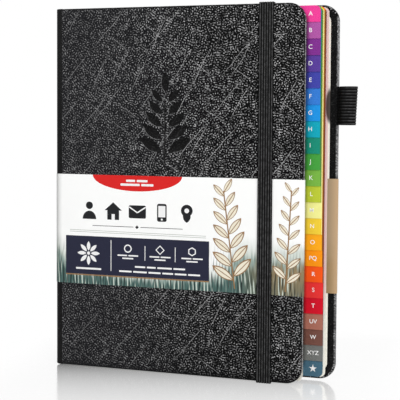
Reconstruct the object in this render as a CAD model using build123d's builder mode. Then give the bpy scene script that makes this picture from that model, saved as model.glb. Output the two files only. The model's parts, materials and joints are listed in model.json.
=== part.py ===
from build123d import *
import os
from math import sqrt
from typing import NamedTuple

# An address book that stands on its tail: a leatherette case with a wide back cover, step-cut index
# sections whose tabs stay in view past the narrower front cover, a paper belly band, an elastic strap
# round head and tail, and a pen loop on the back cover's fore edge. All lengths are in millimetres.

# Case
cover_height = 213.0
front_cover_width = 149.5
back_cover_reach = 17.0
cover_corner_radius = 9.7
spine_corner_radius = 3.0
wrap_thickness = 0.4
wrap_edge_radius = 0.7
board_thickness = 1.8
spine_board_thickness = 1.5
pastedown_thickness = 0.3
turn_in_showing = 4.8
glue_line = 0.05
joint_split = 0.04

# Leaves
index_names = "a b c d e f g h i j k l m n o pq r s t uv w xyz star".split()
section_thickness = 0.44
leaf_gap = 0.02
flyleaf_thickness = 0.15
head_square = 1.5
tab_reach = 7.6
tab_creep = 0.27
creeping_tabs = ("i", "r")
step_inset = 1.4
back_flyleaf_reach = 1.4
leaf_corner_radius = 3.0
spine_hollow = 0.6
end_band_diameter = 1.2

# Belly band
band_height = 65.2
band_tail_distance = 49.8
band_thickness = 0.2
band_clearance = 0.05
band_flap_length = 60.0

# Elastic strap
strap_width = 8.3
strap_thickness = 0.8
strap_bend_radius = 1.3
strap_clearance = 0.05
strap_fore_edge_distance = 22.0
strap_slit_distance = 12.0
strap_slit_clearance = 0.1
strap_tail_length = 15.0

# Pen loop
loop_width = 21.6
loop_middle_height = 156.2
loop_reach = 10.7
loop_thickness = 0.9
loop_tongue_thickness = 1.2
loop_tongue_length = 14.0
loop_edge_gap = 0.3
loop_back_inset = 0.2
pen_opening = 6.0

# Worked out from the sizes above, from the spine's outer face, the front cover's face and the tail
section_count = len(index_names)
section_pitch = section_thickness + leaf_gap
cover_thickness = wrap_thickness + board_thickness + pastedown_thickness
spine_thickness = wrap_thickness + spine_board_thickness + pastedown_thickness
back_cover_width = front_cover_width + back_cover_reach
band_stack = band_clearance + band_thickness
front_flyleaf_depth = cover_thickness + band_stack + band_clearance
first_section_depth = front_flyleaf_depth + flyleaf_thickness + leaf_gap
back_flyleaf_depth = first_section_depth + section_count * section_pitch
back_cover_inner_depth = back_flyleaf_depth + flyleaf_thickness + band_clearance + band_stack
book_depth = back_cover_inner_depth + cover_thickness
leaf_back_x = spine_thickness + spine_hollow
leaf_tail_height = head_square
leaf_head_height = cover_height - head_square
leaf_height = leaf_head_height - leaf_tail_height
tab_height = leaf_height / section_count
step_x = front_cover_width - step_inset
first_tab_x = front_cover_width + tab_reach
creep_start, creep_end = [index_names.index(name) for name in creeping_tabs]
last_tab_x = first_tab_x + tab_creep * (creep_end - creep_start)
strap_x = front_cover_width - strap_fore_edge_distance
strap_stack = band_stack + strap_clearance + strap_thickness
strap_edge_stack = strap_clearance + strap_thickness
slit_width = strap_width + 2 * strap_slit_clearance
slit_height = strap_thickness + 2 * strap_slit_clearance
slit_heights = [strap_slit_distance, cover_height - strap_slit_distance]
board_inner_depth = wrap_thickness + board_thickness
loop_slot_height = loop_width + 2 * strap_slit_clearance
loop_tongue_start_x = back_cover_width - wrap_thickness - loop_tongue_length
eye_length = loop_reach - loop_edge_gap
eye_depth = pen_opening + 2 * loop_thickness
eye_middle_x = back_cover_width + loop_edge_gap + eye_length / 2

# The frame's origin is under the middle of the whole book, so these place the book's own zero in it
overall_width = band_stack + back_cover_width + loop_reach
overall_depth = strap_stack + book_depth + strap_edge_stack
book_x = band_stack - overall_width / 2
book_y = strap_stack - overall_depth / 2
book_z = strap_edge_stack

# The case hinges on its outermost line at each spine corner, half way round the bend
hinge_x = spine_corner_radius - (spine_corner_radius + band_stack) / sqrt(2)


class Side(NamedTuple):
    """One cover: the depth of its outer face, and +1 or -1 for the way from there into the book."""

    face: float
    inward: int

    def depth(self, below_face):
        return self.face + self.inward * below_face


front = Side(0.0, 1)
back = Side(book_depth, -1)


def upright(depth):
    """The plane of a cover or leaf, with X from the spine and Y up from the tail, facing the reader."""
    return Plane(origin=(book_x, book_y + depth, book_z), x_dir=(1, 0, 0), z_dir=(0, -1, 0))


def level(height):
    """The plane of a cross section, with X from the spine and Y from the front cover's face."""
    return Plane(origin=(book_x, book_y, book_z + height), x_dir=(1, 0, 0), z_dir=(0, 0, 1))


def edgewise(x):
    """The plane of a section along the strap, with X from the front cover's face and Y up."""
    return Plane(origin=(book_x + x, book_y, book_z), x_dir=(0, 1, 0), z_dir=(1, 0, 0))


def block(x_span, y_span, mode=Mode.ADD):
    """Draws a rectangle between two pairs of limits in the sketch that is open."""
    x_low, x_high = sorted(x_span)
    y_low, y_high = sorted(y_span)
    with Locations(((x_low + x_high) / 2, (y_low + y_high) / 2)):
        Rectangle(x_high - x_low, y_high - y_low, mode=mode)


def cover_panel(sketch, width, inset):
    """Draws a cover's outline, drawn in on its three free edges, with round fore-edge corners."""
    block((spine_corner_radius, width - inset), (inset, cover_height - inset))
    fillet(sketch.vertices().group_by(Axis.X)[-1], cover_corner_radius - inset)


def corner_bend(side, inner_radius, outer_radius, on_cover):
    """Draws half of the bend round a spine corner: the half beside the cover, or beside the spine."""
    middle = (spine_corner_radius, side.depth(spine_corner_radius))
    reach = 2 * outer_radius
    apart = joint_split / 2
    if on_cover:
        far = (spine_corner_radius, side.depth(spine_corner_radius - reach))
        near = (spine_corner_radius + apart, side.depth(spine_corner_radius))
        diagonal = (spine_corner_radius - reach + apart, side.depth(spine_corner_radius - reach))
    else:
        far = (spine_corner_radius - reach, side.depth(spine_corner_radius))
        near = (spine_corner_radius, side.depth(spine_corner_radius + apart))
        diagonal = (spine_corner_radius - reach, side.depth(spine_corner_radius - reach + apart))
    with Locations(middle):
        Circle(outer_radius)
        Circle(inner_radius, mode=Mode.SUBTRACT)
    Polygon(far, near, diagonal, align=None, mode=Mode.INTERSECT)


def cover_wrap(side, width):
    """A cover's leatherette: its face, edges and turned-in border, and half of the spine's bend."""
    face_rank = 0 if side is front else -1
    with BuildPart() as wrap:
        with BuildSketch(upright(side.face)) as outline:
            cover_panel(outline, width, 0)
        extrude(amount=-side.inward * cover_thickness)
        outer_face = wrap.faces().sort_by(Axis.Y)[face_rank]
        soft_edges = outer_face.edges().sort_by(Axis.X)[1:]
        fillet(soft_edges, wrap_edge_radius)
        with BuildSketch(upright(side.depth(wrap_thickness))) as board_pocket:
            cover_panel(board_pocket, width, wrap_thickness)
        extrude(amount=-side.inward * board_thickness, mode=Mode.SUBTRACT)
        with BuildSketch(upright(side.depth(board_inner_depth))) as window:
            cover_panel(window, width, turn_in_showing)
        extrude(amount=-side.inward * pastedown_thickness, mode=Mode.SUBTRACT)
        with BuildSketch(level(0)):
            corner_bend(side, spine_corner_radius - wrap_thickness, spine_corner_radius, True)
        extrude(amount=cover_height)
    return wrap


def cover_board(side, width):
    """A cover's grey board, which fills the wrap's pocket."""
    with BuildPart() as board:
        with BuildSketch(upright(side.depth(wrap_thickness))) as outline:
            cover_panel(outline, width, wrap_thickness + glue_line)
        extrude(amount=-side.inward * board_thickness)
    return board


def pastedown(side, width):
    """The endpaper that is pasted over the board inside the turned-in border."""
    with BuildPart() as sheet:
        with BuildSketch(upright(side.depth(board_inner_depth))) as outline:
            cover_panel(outline, width, turn_in_showing + glue_line)
        extrude(amount=-side.inward * pastedown_thickness)
    return sheet


def band_part(side, width):
    """The band's run on one cover: the flap inside, the fold round the fore edge and the outer panel."""
    outside = (side.depth(-band_stack), side.depth(-band_clearance))
    inside = (side.depth(cover_thickness + band_clearance), side.depth(cover_thickness + band_stack))
    fold = (width + band_clearance, width + band_stack)
    with BuildPart() as band:
        with BuildSketch(level(band_tail_distance)):
            corner_bend(
                side, spine_corner_radius + band_clearance, spine_corner_radius + band_stack, True
            )
            block((spine_corner_radius, fold[1]), outside)
            block(fold, (outside[0], inside[1]))
            block((width - band_flap_length, fold[1]), inside)
        extrude(amount=band_height)
    return band


def index_section(number):
    """One index section: full width from the head down to its own tab, cut back to the step below."""
    creep_steps = min(max(number, creep_start), creep_end) - creep_start
    fore_x = first_tab_x + tab_creep * creep_steps
    tab_foot = leaf_head_height - (number + 1) * tab_height
    back_depth = first_section_depth + number * section_pitch + section_thickness
    with BuildPart() as section:
        with BuildSketch(upright(back_depth)) as outline:
            block((leaf_back_x, fore_x), (tab_foot, leaf_head_height))
            fore_corners = outline.vertices().group_by(Axis.X)[-1].sort_by(Axis.Y)
            rounded = fore_corners if number == section_count - 1 else fore_corners[-1:]
            fillet(rounded, leaf_corner_radius)
            block((leaf_back_x, step_x), (leaf_tail_height, leaf_head_height))
        extrude(amount=section_thickness)
    return section


def end_band(height):
    """The small rolled band at the head or tail of the spine, seated against its turned-in wrap."""
    with BuildPart() as roll:
        with BuildSketch(upright(back_flyleaf_depth)):
            with Locations((spine_thickness + glue_line + end_band_diameter / 2, height)):
                Circle(end_band_diameter / 2)
        extrude(amount=back_flyleaf_depth - first_section_depth)
    return roll


os.makedirs("parts", exist_ok=True)

# Covers
front_cover_wrap = cover_wrap(front, front_cover_width)
front_board = cover_board(front, front_cover_width)
front_pastedown = pastedown(front, front_cover_width)
back_pastedown = pastedown(back, back_cover_width)

# The back wrap is slit for the strap, and its fore edge for the pen loop's tongue
loop_slot_low = loop_middle_height - loop_slot_height / 2
loop_slot_high = loop_middle_height + loop_slot_height / 2
with BuildPart() as back_cover_wrap:
    add(cover_wrap(back, back_cover_width).part)
    with BuildSketch(upright(book_depth)):
        with Locations(*[(strap_x, height) for height in slit_heights]):
            Rectangle(slit_width, slit_height)
    extrude(amount=wrap_thickness, mode=Mode.SUBTRACT)
    with BuildSketch(upright(back.depth(board_inner_depth - loop_tongue_thickness))):
        block((back_cover_width - 2 * wrap_thickness, back_cover_width), (loop_slot_low, loop_slot_high))
    extrude(amount=loop_tongue_thickness, mode=Mode.SUBTRACT)

# The back board has the same slits, with a recess beside each for the strap's glued end
strap_recess_length = strap_tail_length + strap_slit_clearance
with BuildPart() as back_board:
    add(cover_board(back, back_cover_width).part)
    with BuildSketch(upright(back.depth(wrap_thickness))):
        with Locations(*[(strap_x, height) for height in slit_heights]):
            Rectangle(slit_width, slit_height)
    extrude(amount=board_thickness, mode=Mode.SUBTRACT)
    with BuildSketch(upright(back.depth(board_inner_depth - strap_thickness))):
        low_slit, high_slit = slit_heights
        recess_sides = (strap_x - slit_width / 2, strap_x + slit_width / 2)
        block(recess_sides, (low_slit, low_slit + slit_height / 2 + strap_recess_length))
        block(recess_sides, (high_slit, high_slit - slit_height / 2 - strap_recess_length))
    extrude(amount=strap_thickness, mode=Mode.SUBTRACT)
    with BuildSketch(upright(back.depth(board_inner_depth - loop_tongue_thickness))):
        tongue_recess_start = loop_tongue_start_x - strap_slit_clearance
        block((tongue_recess_start, back_cover_width), (loop_slot_low, loop_slot_high))
    extrude(amount=loop_tongue_thickness, mode=Mode.SUBTRACT)

# Spine
with BuildPart() as spine_wrap:
    with BuildSketch(level(0)):
        block((0, spine_thickness), (front.depth(spine_corner_radius), back.depth(spine_corner_radius)))
    extrude(amount=cover_height)
    with BuildSketch(level(wrap_thickness)):
        block((wrap_thickness, wrap_thickness + spine_board_thickness), (0, book_depth))
    extrude(amount=cover_height - 2 * wrap_thickness, mode=Mode.SUBTRACT)
    with BuildSketch(level(turn_in_showing)):
        block((wrap_thickness + spine_board_thickness, spine_thickness), (0, book_depth))
    extrude(amount=cover_height - 2 * turn_in_showing, mode=Mode.SUBTRACT)
    with BuildSketch(level(0)):
        corner_bend(front, spine_corner_radius - wrap_thickness, spine_corner_radius, False)
    extrude(amount=cover_height)
    with BuildSketch(level(0)):
        corner_bend(back, spine_corner_radius - wrap_thickness, spine_corner_radius, False)
    extrude(amount=cover_height)

spine_edges = (front.depth(spine_corner_radius), back.depth(spine_corner_radius))
with BuildPart() as spine_board:
    with BuildSketch(level(wrap_thickness + glue_line)):
        block((wrap_thickness, wrap_thickness + spine_board_thickness), spine_edges)
    extrude(amount=cover_height - 2 * (wrap_thickness + glue_line))

with BuildPart() as spine_lining:
    with BuildSketch(level(turn_in_showing + glue_line)):
        block((wrap_thickness + spine_board_thickness, spine_thickness), spine_edges)
    extrude(amount=cover_height - 2 * (turn_in_showing + glue_line))

head_band = end_band(leaf_head_height + glue_line + end_band_diameter / 2)
tail_band = end_band(leaf_tail_height - glue_line - end_band_diameter / 2)

# Flyleaves: the front one stops at the step, so that the tabs show past it, and is rounded as its cover is
with BuildPart() as front_flyleaf:
    with BuildSketch(upright(front_flyleaf_depth + flyleaf_thickness)) as outline:
        block((leaf_back_x, step_x), (leaf_tail_height, leaf_head_height))
        fillet(outline.vertices().group_by(Axis.X)[-1], cover_corner_radius)
    extrude(amount=flyleaf_thickness)

with BuildPart() as back_flyleaf:
    with BuildSketch(upright(back_flyleaf_depth + flyleaf_thickness)) as outline:
        block((leaf_back_x, last_tab_x + back_flyleaf_reach), (leaf_tail_height, leaf_head_height))
        fillet(outline.vertices().group_by(Axis.X)[-1], leaf_corner_radius)
    extrude(amount=flyleaf_thickness)

# Belly band
band_front = band_part(front, front_cover_width)
band_back = band_part(back, back_cover_width)
bend_radii = (spine_corner_radius + band_clearance, spine_corner_radius + band_stack)
with BuildPart() as band_spine:
    with BuildSketch(level(band_tail_distance)):
        corner_bend(front, *bend_radii, False)
    extrude(amount=band_height)
    with BuildSketch(level(band_tail_distance)):
        corner_bend(back, *bend_radii, False)
    extrude(amount=band_height)
    with BuildSketch(level(band_tail_distance)):
        block((-band_stack, -band_clearance), spine_edges)
    extrude(amount=band_height)

# The strap runs up the front, over head and tail, and down the back to its two slits
strap_inner_front = -band_stack - strap_clearance
strap_inner_back = book_depth + strap_clearance
with BuildPart() as elastic_strap:
    with BuildSketch(edgewise(strap_x - strap_width / 2)) as loop:
        block(
            (-strap_stack, book_depth + strap_edge_stack),
            (-strap_edge_stack, cover_height + strap_edge_stack),
        )
        fillet(loop.vertices(), strap_bend_radius)
        block(
            (strap_inner_front, strap_inner_back),
            (-strap_clearance, cover_height + strap_clearance),
            mode=Mode.SUBTRACT,
        )
        block(
            (strap_inner_back, strap_inner_back + 2 * strap_thickness),
            (low_slit + strap_thickness / 2, high_slit - strap_thickness / 2),
            mode=Mode.SUBTRACT,
        )
    extrude(amount=strap_width)

# Its two ends pass through the slits and are glued into the back board, under the pastedown
stub_depths = (strap_inner_back, back.depth(board_inner_depth))
tail_depths = (back.depth(board_inner_depth - strap_thickness), back.depth(board_inner_depth))
with BuildPart() as strap_ends:
    with BuildSketch(edgewise(strap_x - strap_width / 2)):
        for slit, towards_middle in ((low_slit, 1), (high_slit, -1)):
            block(stub_depths, (slit - strap_thickness / 2, slit + strap_thickness / 2))
            block(tail_depths, (slit, slit + towards_middle * (strap_thickness / 2 + strap_tail_length)))
    extrude(amount=strap_width)

# The pen loop is an elastic eye on a doubled tongue that is glued under the pastedown
eye_middle_depth = back.depth(loop_back_inset + eye_depth / 2)
tongue_depths = (back.depth(board_inner_depth - loop_tongue_thickness), back.depth(board_inner_depth))
with BuildPart() as pen_loop:
    with BuildSketch(level(loop_middle_height - loop_width / 2)):
        block((loop_tongue_start_x, eye_middle_x), tongue_depths)
        with Locations((eye_middle_x, eye_middle_depth)):
            SlotOverall(eye_length, eye_depth)
            SlotOverall(eye_length - 2 * loop_thickness, pen_opening, mode=Mode.SUBTRACT)
    extrude(amount=loop_width)

pieces = {
    "front_cover_wrap": front_cover_wrap,
    "front_board": front_board,
    "front_pastedown": front_pastedown,
    "spine_wrap": spine_wrap,
    "spine_board": spine_board,
    "spine_lining": spine_lining,
    "back_cover_wrap": back_cover_wrap,
    "back_board": back_board,
    "back_pastedown": back_pastedown,
    "head_band": head_band,
    "tail_band": tail_band,
    "front_flyleaf": front_flyleaf,
    "back_flyleaf": back_flyleaf,
    "band_front": band_front,
    "band_spine": band_spine,
    "band_back": band_back,
    "elastic_strap": elastic_strap,
    "strap_ends": strap_ends,
    "pen_loop": pen_loop,
}
for number, name in enumerate(index_names):
    pieces[f"leaves_{name}"] = index_section(number)

for name, piece in pieces.items():
    piece.part.label = name
    export_step(piece.part, f"parts/{name}.step")

print(f"book depth {book_depth:.3f}, overall {overall_width:.3f} x {overall_depth:.3f}")
print(f"hinge x {book_x + hinge_x:.3f}, y {book_y + hinge_x:.3f} and {book_y + book_depth - hinge_x:.3f}")
print(f"leaf backs x {book_x + leaf_back_x:.3f}, first section y {book_y + first_section_depth:.3f}")
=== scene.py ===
"""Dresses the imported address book: leatherette case, index leaves, belly band, strap and pen loop."""
import json
import logging
import math
import random
from abc import ABC, abstractmethod
from dataclasses import dataclass
from enum import Enum
from typing import Iterator, Sequence

import bmesh
import bpy
from bmesh.types import BMEdge, BMFace, BMesh, BMVert
from mathutils import Euler, Matrix, Vector
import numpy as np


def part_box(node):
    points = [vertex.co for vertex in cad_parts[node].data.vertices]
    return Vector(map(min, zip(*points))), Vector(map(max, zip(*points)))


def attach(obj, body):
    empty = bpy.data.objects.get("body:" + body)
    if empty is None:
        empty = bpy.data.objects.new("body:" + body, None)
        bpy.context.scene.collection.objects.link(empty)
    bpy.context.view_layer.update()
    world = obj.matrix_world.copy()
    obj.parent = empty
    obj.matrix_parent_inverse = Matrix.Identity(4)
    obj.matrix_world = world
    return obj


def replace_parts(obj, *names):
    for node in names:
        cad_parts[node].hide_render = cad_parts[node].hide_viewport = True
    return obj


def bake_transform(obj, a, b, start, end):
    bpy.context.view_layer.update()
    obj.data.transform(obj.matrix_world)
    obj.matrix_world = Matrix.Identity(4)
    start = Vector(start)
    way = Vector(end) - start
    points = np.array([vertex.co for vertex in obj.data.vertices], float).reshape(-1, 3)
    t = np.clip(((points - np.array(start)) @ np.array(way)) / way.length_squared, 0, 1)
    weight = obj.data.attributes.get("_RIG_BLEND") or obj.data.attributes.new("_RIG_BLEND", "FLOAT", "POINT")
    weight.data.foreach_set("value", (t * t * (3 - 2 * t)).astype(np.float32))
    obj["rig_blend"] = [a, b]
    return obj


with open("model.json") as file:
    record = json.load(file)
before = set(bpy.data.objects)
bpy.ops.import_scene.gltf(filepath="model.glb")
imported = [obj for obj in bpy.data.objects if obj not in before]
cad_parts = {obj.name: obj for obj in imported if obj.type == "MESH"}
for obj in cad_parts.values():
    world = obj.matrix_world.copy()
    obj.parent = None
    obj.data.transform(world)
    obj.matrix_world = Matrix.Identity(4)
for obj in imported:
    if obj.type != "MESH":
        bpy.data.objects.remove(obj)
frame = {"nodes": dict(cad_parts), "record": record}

logging.basicConfig(level=logging.INFO, format="%(message)s")
log = logging.getLogger("address_book")

MM = 0.001
WELD = 1e-6
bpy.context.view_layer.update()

Colour = tuple[float, float, float, float]
Point = tuple[float, float]
Material = bpy.types.Material
Object = bpy.types.Object
Socket = bpy.types.NodeSocket

BLACK: Colour = (0.0, 0.0, 0.0, 1.0)
WHITE: Colour = (1.0, 1.0, 1.0, 1.0)


def screen_colour(red: int, green: int, blue: int) -> Colour:
    """Turns a colour as a screen shows it into the linear values that shaders take.

    Args:
        red, green, blue: the screen's values, 0 to 255.

    Returns:
        The linear colour, opaque.
    """
    def linear(value: int) -> float:
        """One channel's linear value."""
        share = value / 255
        return share / 12.92 if share <= 0.04045 else ((share + 0.055) / 1.055) ** 2.4

    return linear(red), linear(green), linear(blue), 1.0


class Side(Enum):
    """The two covers; the value is the way along Y from a cover's face into the book."""

    FRONT = 1
    BACK = -1


class Tab(Enum):
    """The index tabs from the head down: the mark on each and its colour on a screen."""

    A = ("A", (236, 62, 150))
    B = ("B", (172, 84, 160))
    C = ("C", (126, 44, 140))
    D = ("D", (86, 58, 150))
    E = ("E", (62, 66, 164))
    F = ("F", (50, 122, 210))
    G = ("G", (24, 146, 226))
    H = ("H", (6, 165, 186))
    I = ("I", (20, 140, 116))
    J = ("J", (68, 160, 62))
    K = ("K", (120, 180, 68))
    L = ("L", (186, 200, 54))
    M = ("M", (240, 238, 150))
    N = ("N", (240, 206, 58))
    O = ("O", (252, 172, 24))
    PQ = ("PQ", (252, 152, 10))
    R = ("R", (248, 88, 18))
    S = ("S", (232, 50, 50))
    T = ("T", (212, 8, 38))
    UV = ("UV", (172, 110, 94))
    W = ("W", (116, 76, 66))
    XYZ = ("XYZ", (116, 118, 116))
    STAR = ("", (70, 106, 126))

    @property
    def mark(self) -> str:
        """The letters on the tab, or nothing for the star."""
        return self.value[0]

    @property
    def colour(self) -> Colour:
        """The tab's linear colour."""
        return screen_colour(*self.value[1])

    @property
    def margin(self) -> Colour:
        """The linear colour along the fore edge, where the stepped sections show past each other: painted
        shade and light, darker for J to L and for O to R, paler for M and N.
        """
        margins = {
            "J": (78, 143, 74), "K": (88, 146, 72), "L": (146, 164, 76), "M": (255, 250, 172),
            "N": (252, 232, 150), "O": (170, 110, 48), "PQ": (132, 74, 28), "R": (136, 80, 40),
        }
        return screen_colour(*margins.get(self.name, self.value[1]))

    @property
    def node(self) -> str:
        """The CAD node that the tab's leaves stand for."""
        return f"leaves_{self.name.lower()}"


class Value:
    """A number in a shader tree; Python's own signs on it add Math nodes."""

    def __init__(self, sheet: "NodeSheet", socket: Socket) -> None:
        """Keeps the sheet and the socket that gives the number."""
        self.sheet, self.socket = sheet, socket

    def __add__(self, other: object) -> "Value":
        """The sum."""
        return self.sheet.math("ADD", self, other)

    def __sub__(self, other: object) -> "Value":
        """The difference."""
        return self.sheet.math("SUBTRACT", self, other)

    def __mul__(self, other: object) -> "Value":
        """The product."""
        return self.sheet.math("MULTIPLY", self, other)

    def __truediv__(self, other: object) -> "Value":
        """The quotient."""
        return self.sheet.math("DIVIDE", self, other)

    def __gt__(self, other: object) -> "Value":
        """1 where it is greater, and 0 elsewhere."""
        return self.sheet.math("GREATER_THAN", self, other)

    def __lt__(self, other: object) -> "Value":
        """1 where it is less, and 0 elsewhere."""
        return self.sheet.math("LESS_THAN", self, other)

    def __abs__(self) -> "Value":
        """The number without its sign."""
        return self.sheet.math("ABSOLUTE", self)

    def most(self, other: object) -> "Value":
        """The greater of the two."""
        return self.sheet.math("MAXIMUM", self, other)

    def ramp(self, start: object, end: object, low: float = 0.0, high: float = 1.0) -> "Value":
        """Maps the number smoothly from start..end to low..high, held at both ends.

        Args:
            start, end: where it leaves low and reaches high.
            low, high: the range that comes out.

        Returns:
            The mapped number.
        """
        node = self.sheet.add(
            "MapRange", {"interpolation_type": "SMOOTHSTEP"}, Value=self, From_Min=start, From_Max=end,
            To_Min=low, To_Max=high,
        )
        return Value(self.sheet, node.outputs["Result"])


class NodeSheet:
    """A shader node tree, with short calls that add nodes and join them."""

    def __init__(self, tree: bpy.types.NodeTree) -> None:
        """Keeps the tree that the calls work on."""
        self.tree = tree

    def feed(self, target: Socket, value: object) -> None:
        """Joins a number or socket to an input, or sets the input's own value."""
        value = value.socket if isinstance(value, Value) else value
        if isinstance(value, bpy.types.NodeSocket):
            self.tree.links.new(value, target)
        else:
            target.default_value = value

    def add(self, kind: str, settings: dict[str, object] | None = None, **inputs: object) -> bpy.types.Node:
        """Adds one node.

        Args:
            kind: the node's type, without ShaderNode before it.
            settings: options of the node itself.
            inputs: a value or a socket for each named input, with _ for a space.

        Returns:
            The new node.
        """
        node = self.tree.nodes.new("ShaderNode" + kind)
        for key, value in (settings or {}).items():
            setattr(node, key, value)
        for key, value in inputs.items():
            self.feed(node.inputs[key.replace("_", " ")], value)
        return node

    def math(self, operation: str, *values: object) -> Value:
        """Adds a Math node and returns its result."""
        node = self.add("Math", {"operation": operation})
        for target, value in zip(node.inputs, values):
            self.feed(target, value)
        return Value(self, node.outputs[0])

    def mix(self, share: object, first: object, second: object, blend: str = "MIX") -> Socket:
        """Mixes two colours.

        Args:
            share: how much of the second colour shows.
            first, second: the colours.
            blend: Blender's name for the way they mix.

        Returns:
            The mixed colour.
        """
        node = self.add("Mix", {"data_type": "RGBA", "blend_type": blend})
        for place, value in ((0, share), (6, first), (7, second)):
            self.feed(node.inputs[place], value)
        return node.outputs[2]

    def blend(self, share: Value, first: Socket, second: Socket) -> Socket:
        """Mixes two shaders; the share is the second one's."""
        node = self.add("MixShader", Fac=share)
        self.feed(node.inputs[1], first)
        self.feed(node.inputs[2], second)
        return node.outputs[0]

    def noise(self, vector: Socket, scale: object, detail: float = 2.0, roughness: float = 0.5) -> Value:
        """Adds a Noise Texture on a vector and returns its value."""
        node = self.add("TexNoise", Vector=vector, Scale=scale, Detail=detail, Roughness=roughness)
        return Value(self, node.outputs[0])

    def line_noise(self, place: Value, scale: object, detail: float = 1.0) -> Value:
        """Adds a Noise Texture along one measure and returns its value."""
        node = self.add("TexNoise", {"noise_dimensions": "1D"}, W=place, Scale=scale, Detail=detail)
        return Value(self, node.outputs[0])

    def chance(self, dimensions: str, **inputs: object) -> Value:
        """Adds a White Noise Texture of so many dimensions and returns its value."""
        node = self.add("TexWhiteNoise", {"noise_dimensions": dimensions}, **inputs)
        return Value(self, node.outputs["Value"])

    def axes(self, vector: Socket) -> tuple[Value, Value, Value]:
        """Parts a vector into its X, Y and Z."""
        x, y, z = (Value(self, socket) for socket in self.add("SeparateXYZ", Vector=vector).outputs)
        return x, y, z

    def vector(self, x: object, y: object, z: object) -> Socket:
        """Joins three numbers into a vector."""
        return self.add("CombineXYZ", X=x, Y=y, Z=z).outputs[0]

    def object_place(self) -> Socket:
        """The place on the piece, in the shared frame."""
        return self.add("TexCoord").outputs["Object"]

    def unrolled(self, vector: Socket, lean: float = 0.0) -> Socket:
        """Lays the case's or band's faces flat in X and Z.

        Args:
            vector: the place on the piece.
            lean: how far Z runs on with Y, so that a pattern doesn't streak along head and tail edges.

        Returns:
            The flat place; going round the book, X minus Y runs on.
        """
        x, y, z = self.axes(vector)
        return self.vector(x - y, 0.0, y * lean + z)

    def attribute(self, name: str) -> Value:
        """The number that the piece's faces carry under a name."""
        return Value(self, self.add("Attribute", {"attribute_name": name}).outputs["Fac"])

    def seen(self) -> Value:
        """1 for rays that look at a thing, straight, in a mirror or through glass, and 0 for its light."""
        path = self.add("LightPath").outputs
        straight, mirrored, through = (
            Value(self, path[f"Is {kind} Ray"]) for kind in ("Camera", "Glossy", "Transmission")
        )
        return straight.most(mirrored).most(through)

    def effect(self, name: str, **inputs: object) -> dict[str, Value]:
        """Places a shared group, making it the first time.

        Args:
            name: the group's name, which is also the name of the method that makes it.
            inputs: values or sockets by input name, with _ for a space.

        Returns:
            The placed group's outputs by name.
        """
        if name not in bpy.data.node_groups:
            getattr(SharedEffects, name)()
        node = self.add("Group", {"node_tree": bpy.data.node_groups[name]}, **inputs)
        return {socket.name: Value(self, socket) for socket in node.outputs}


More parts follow.
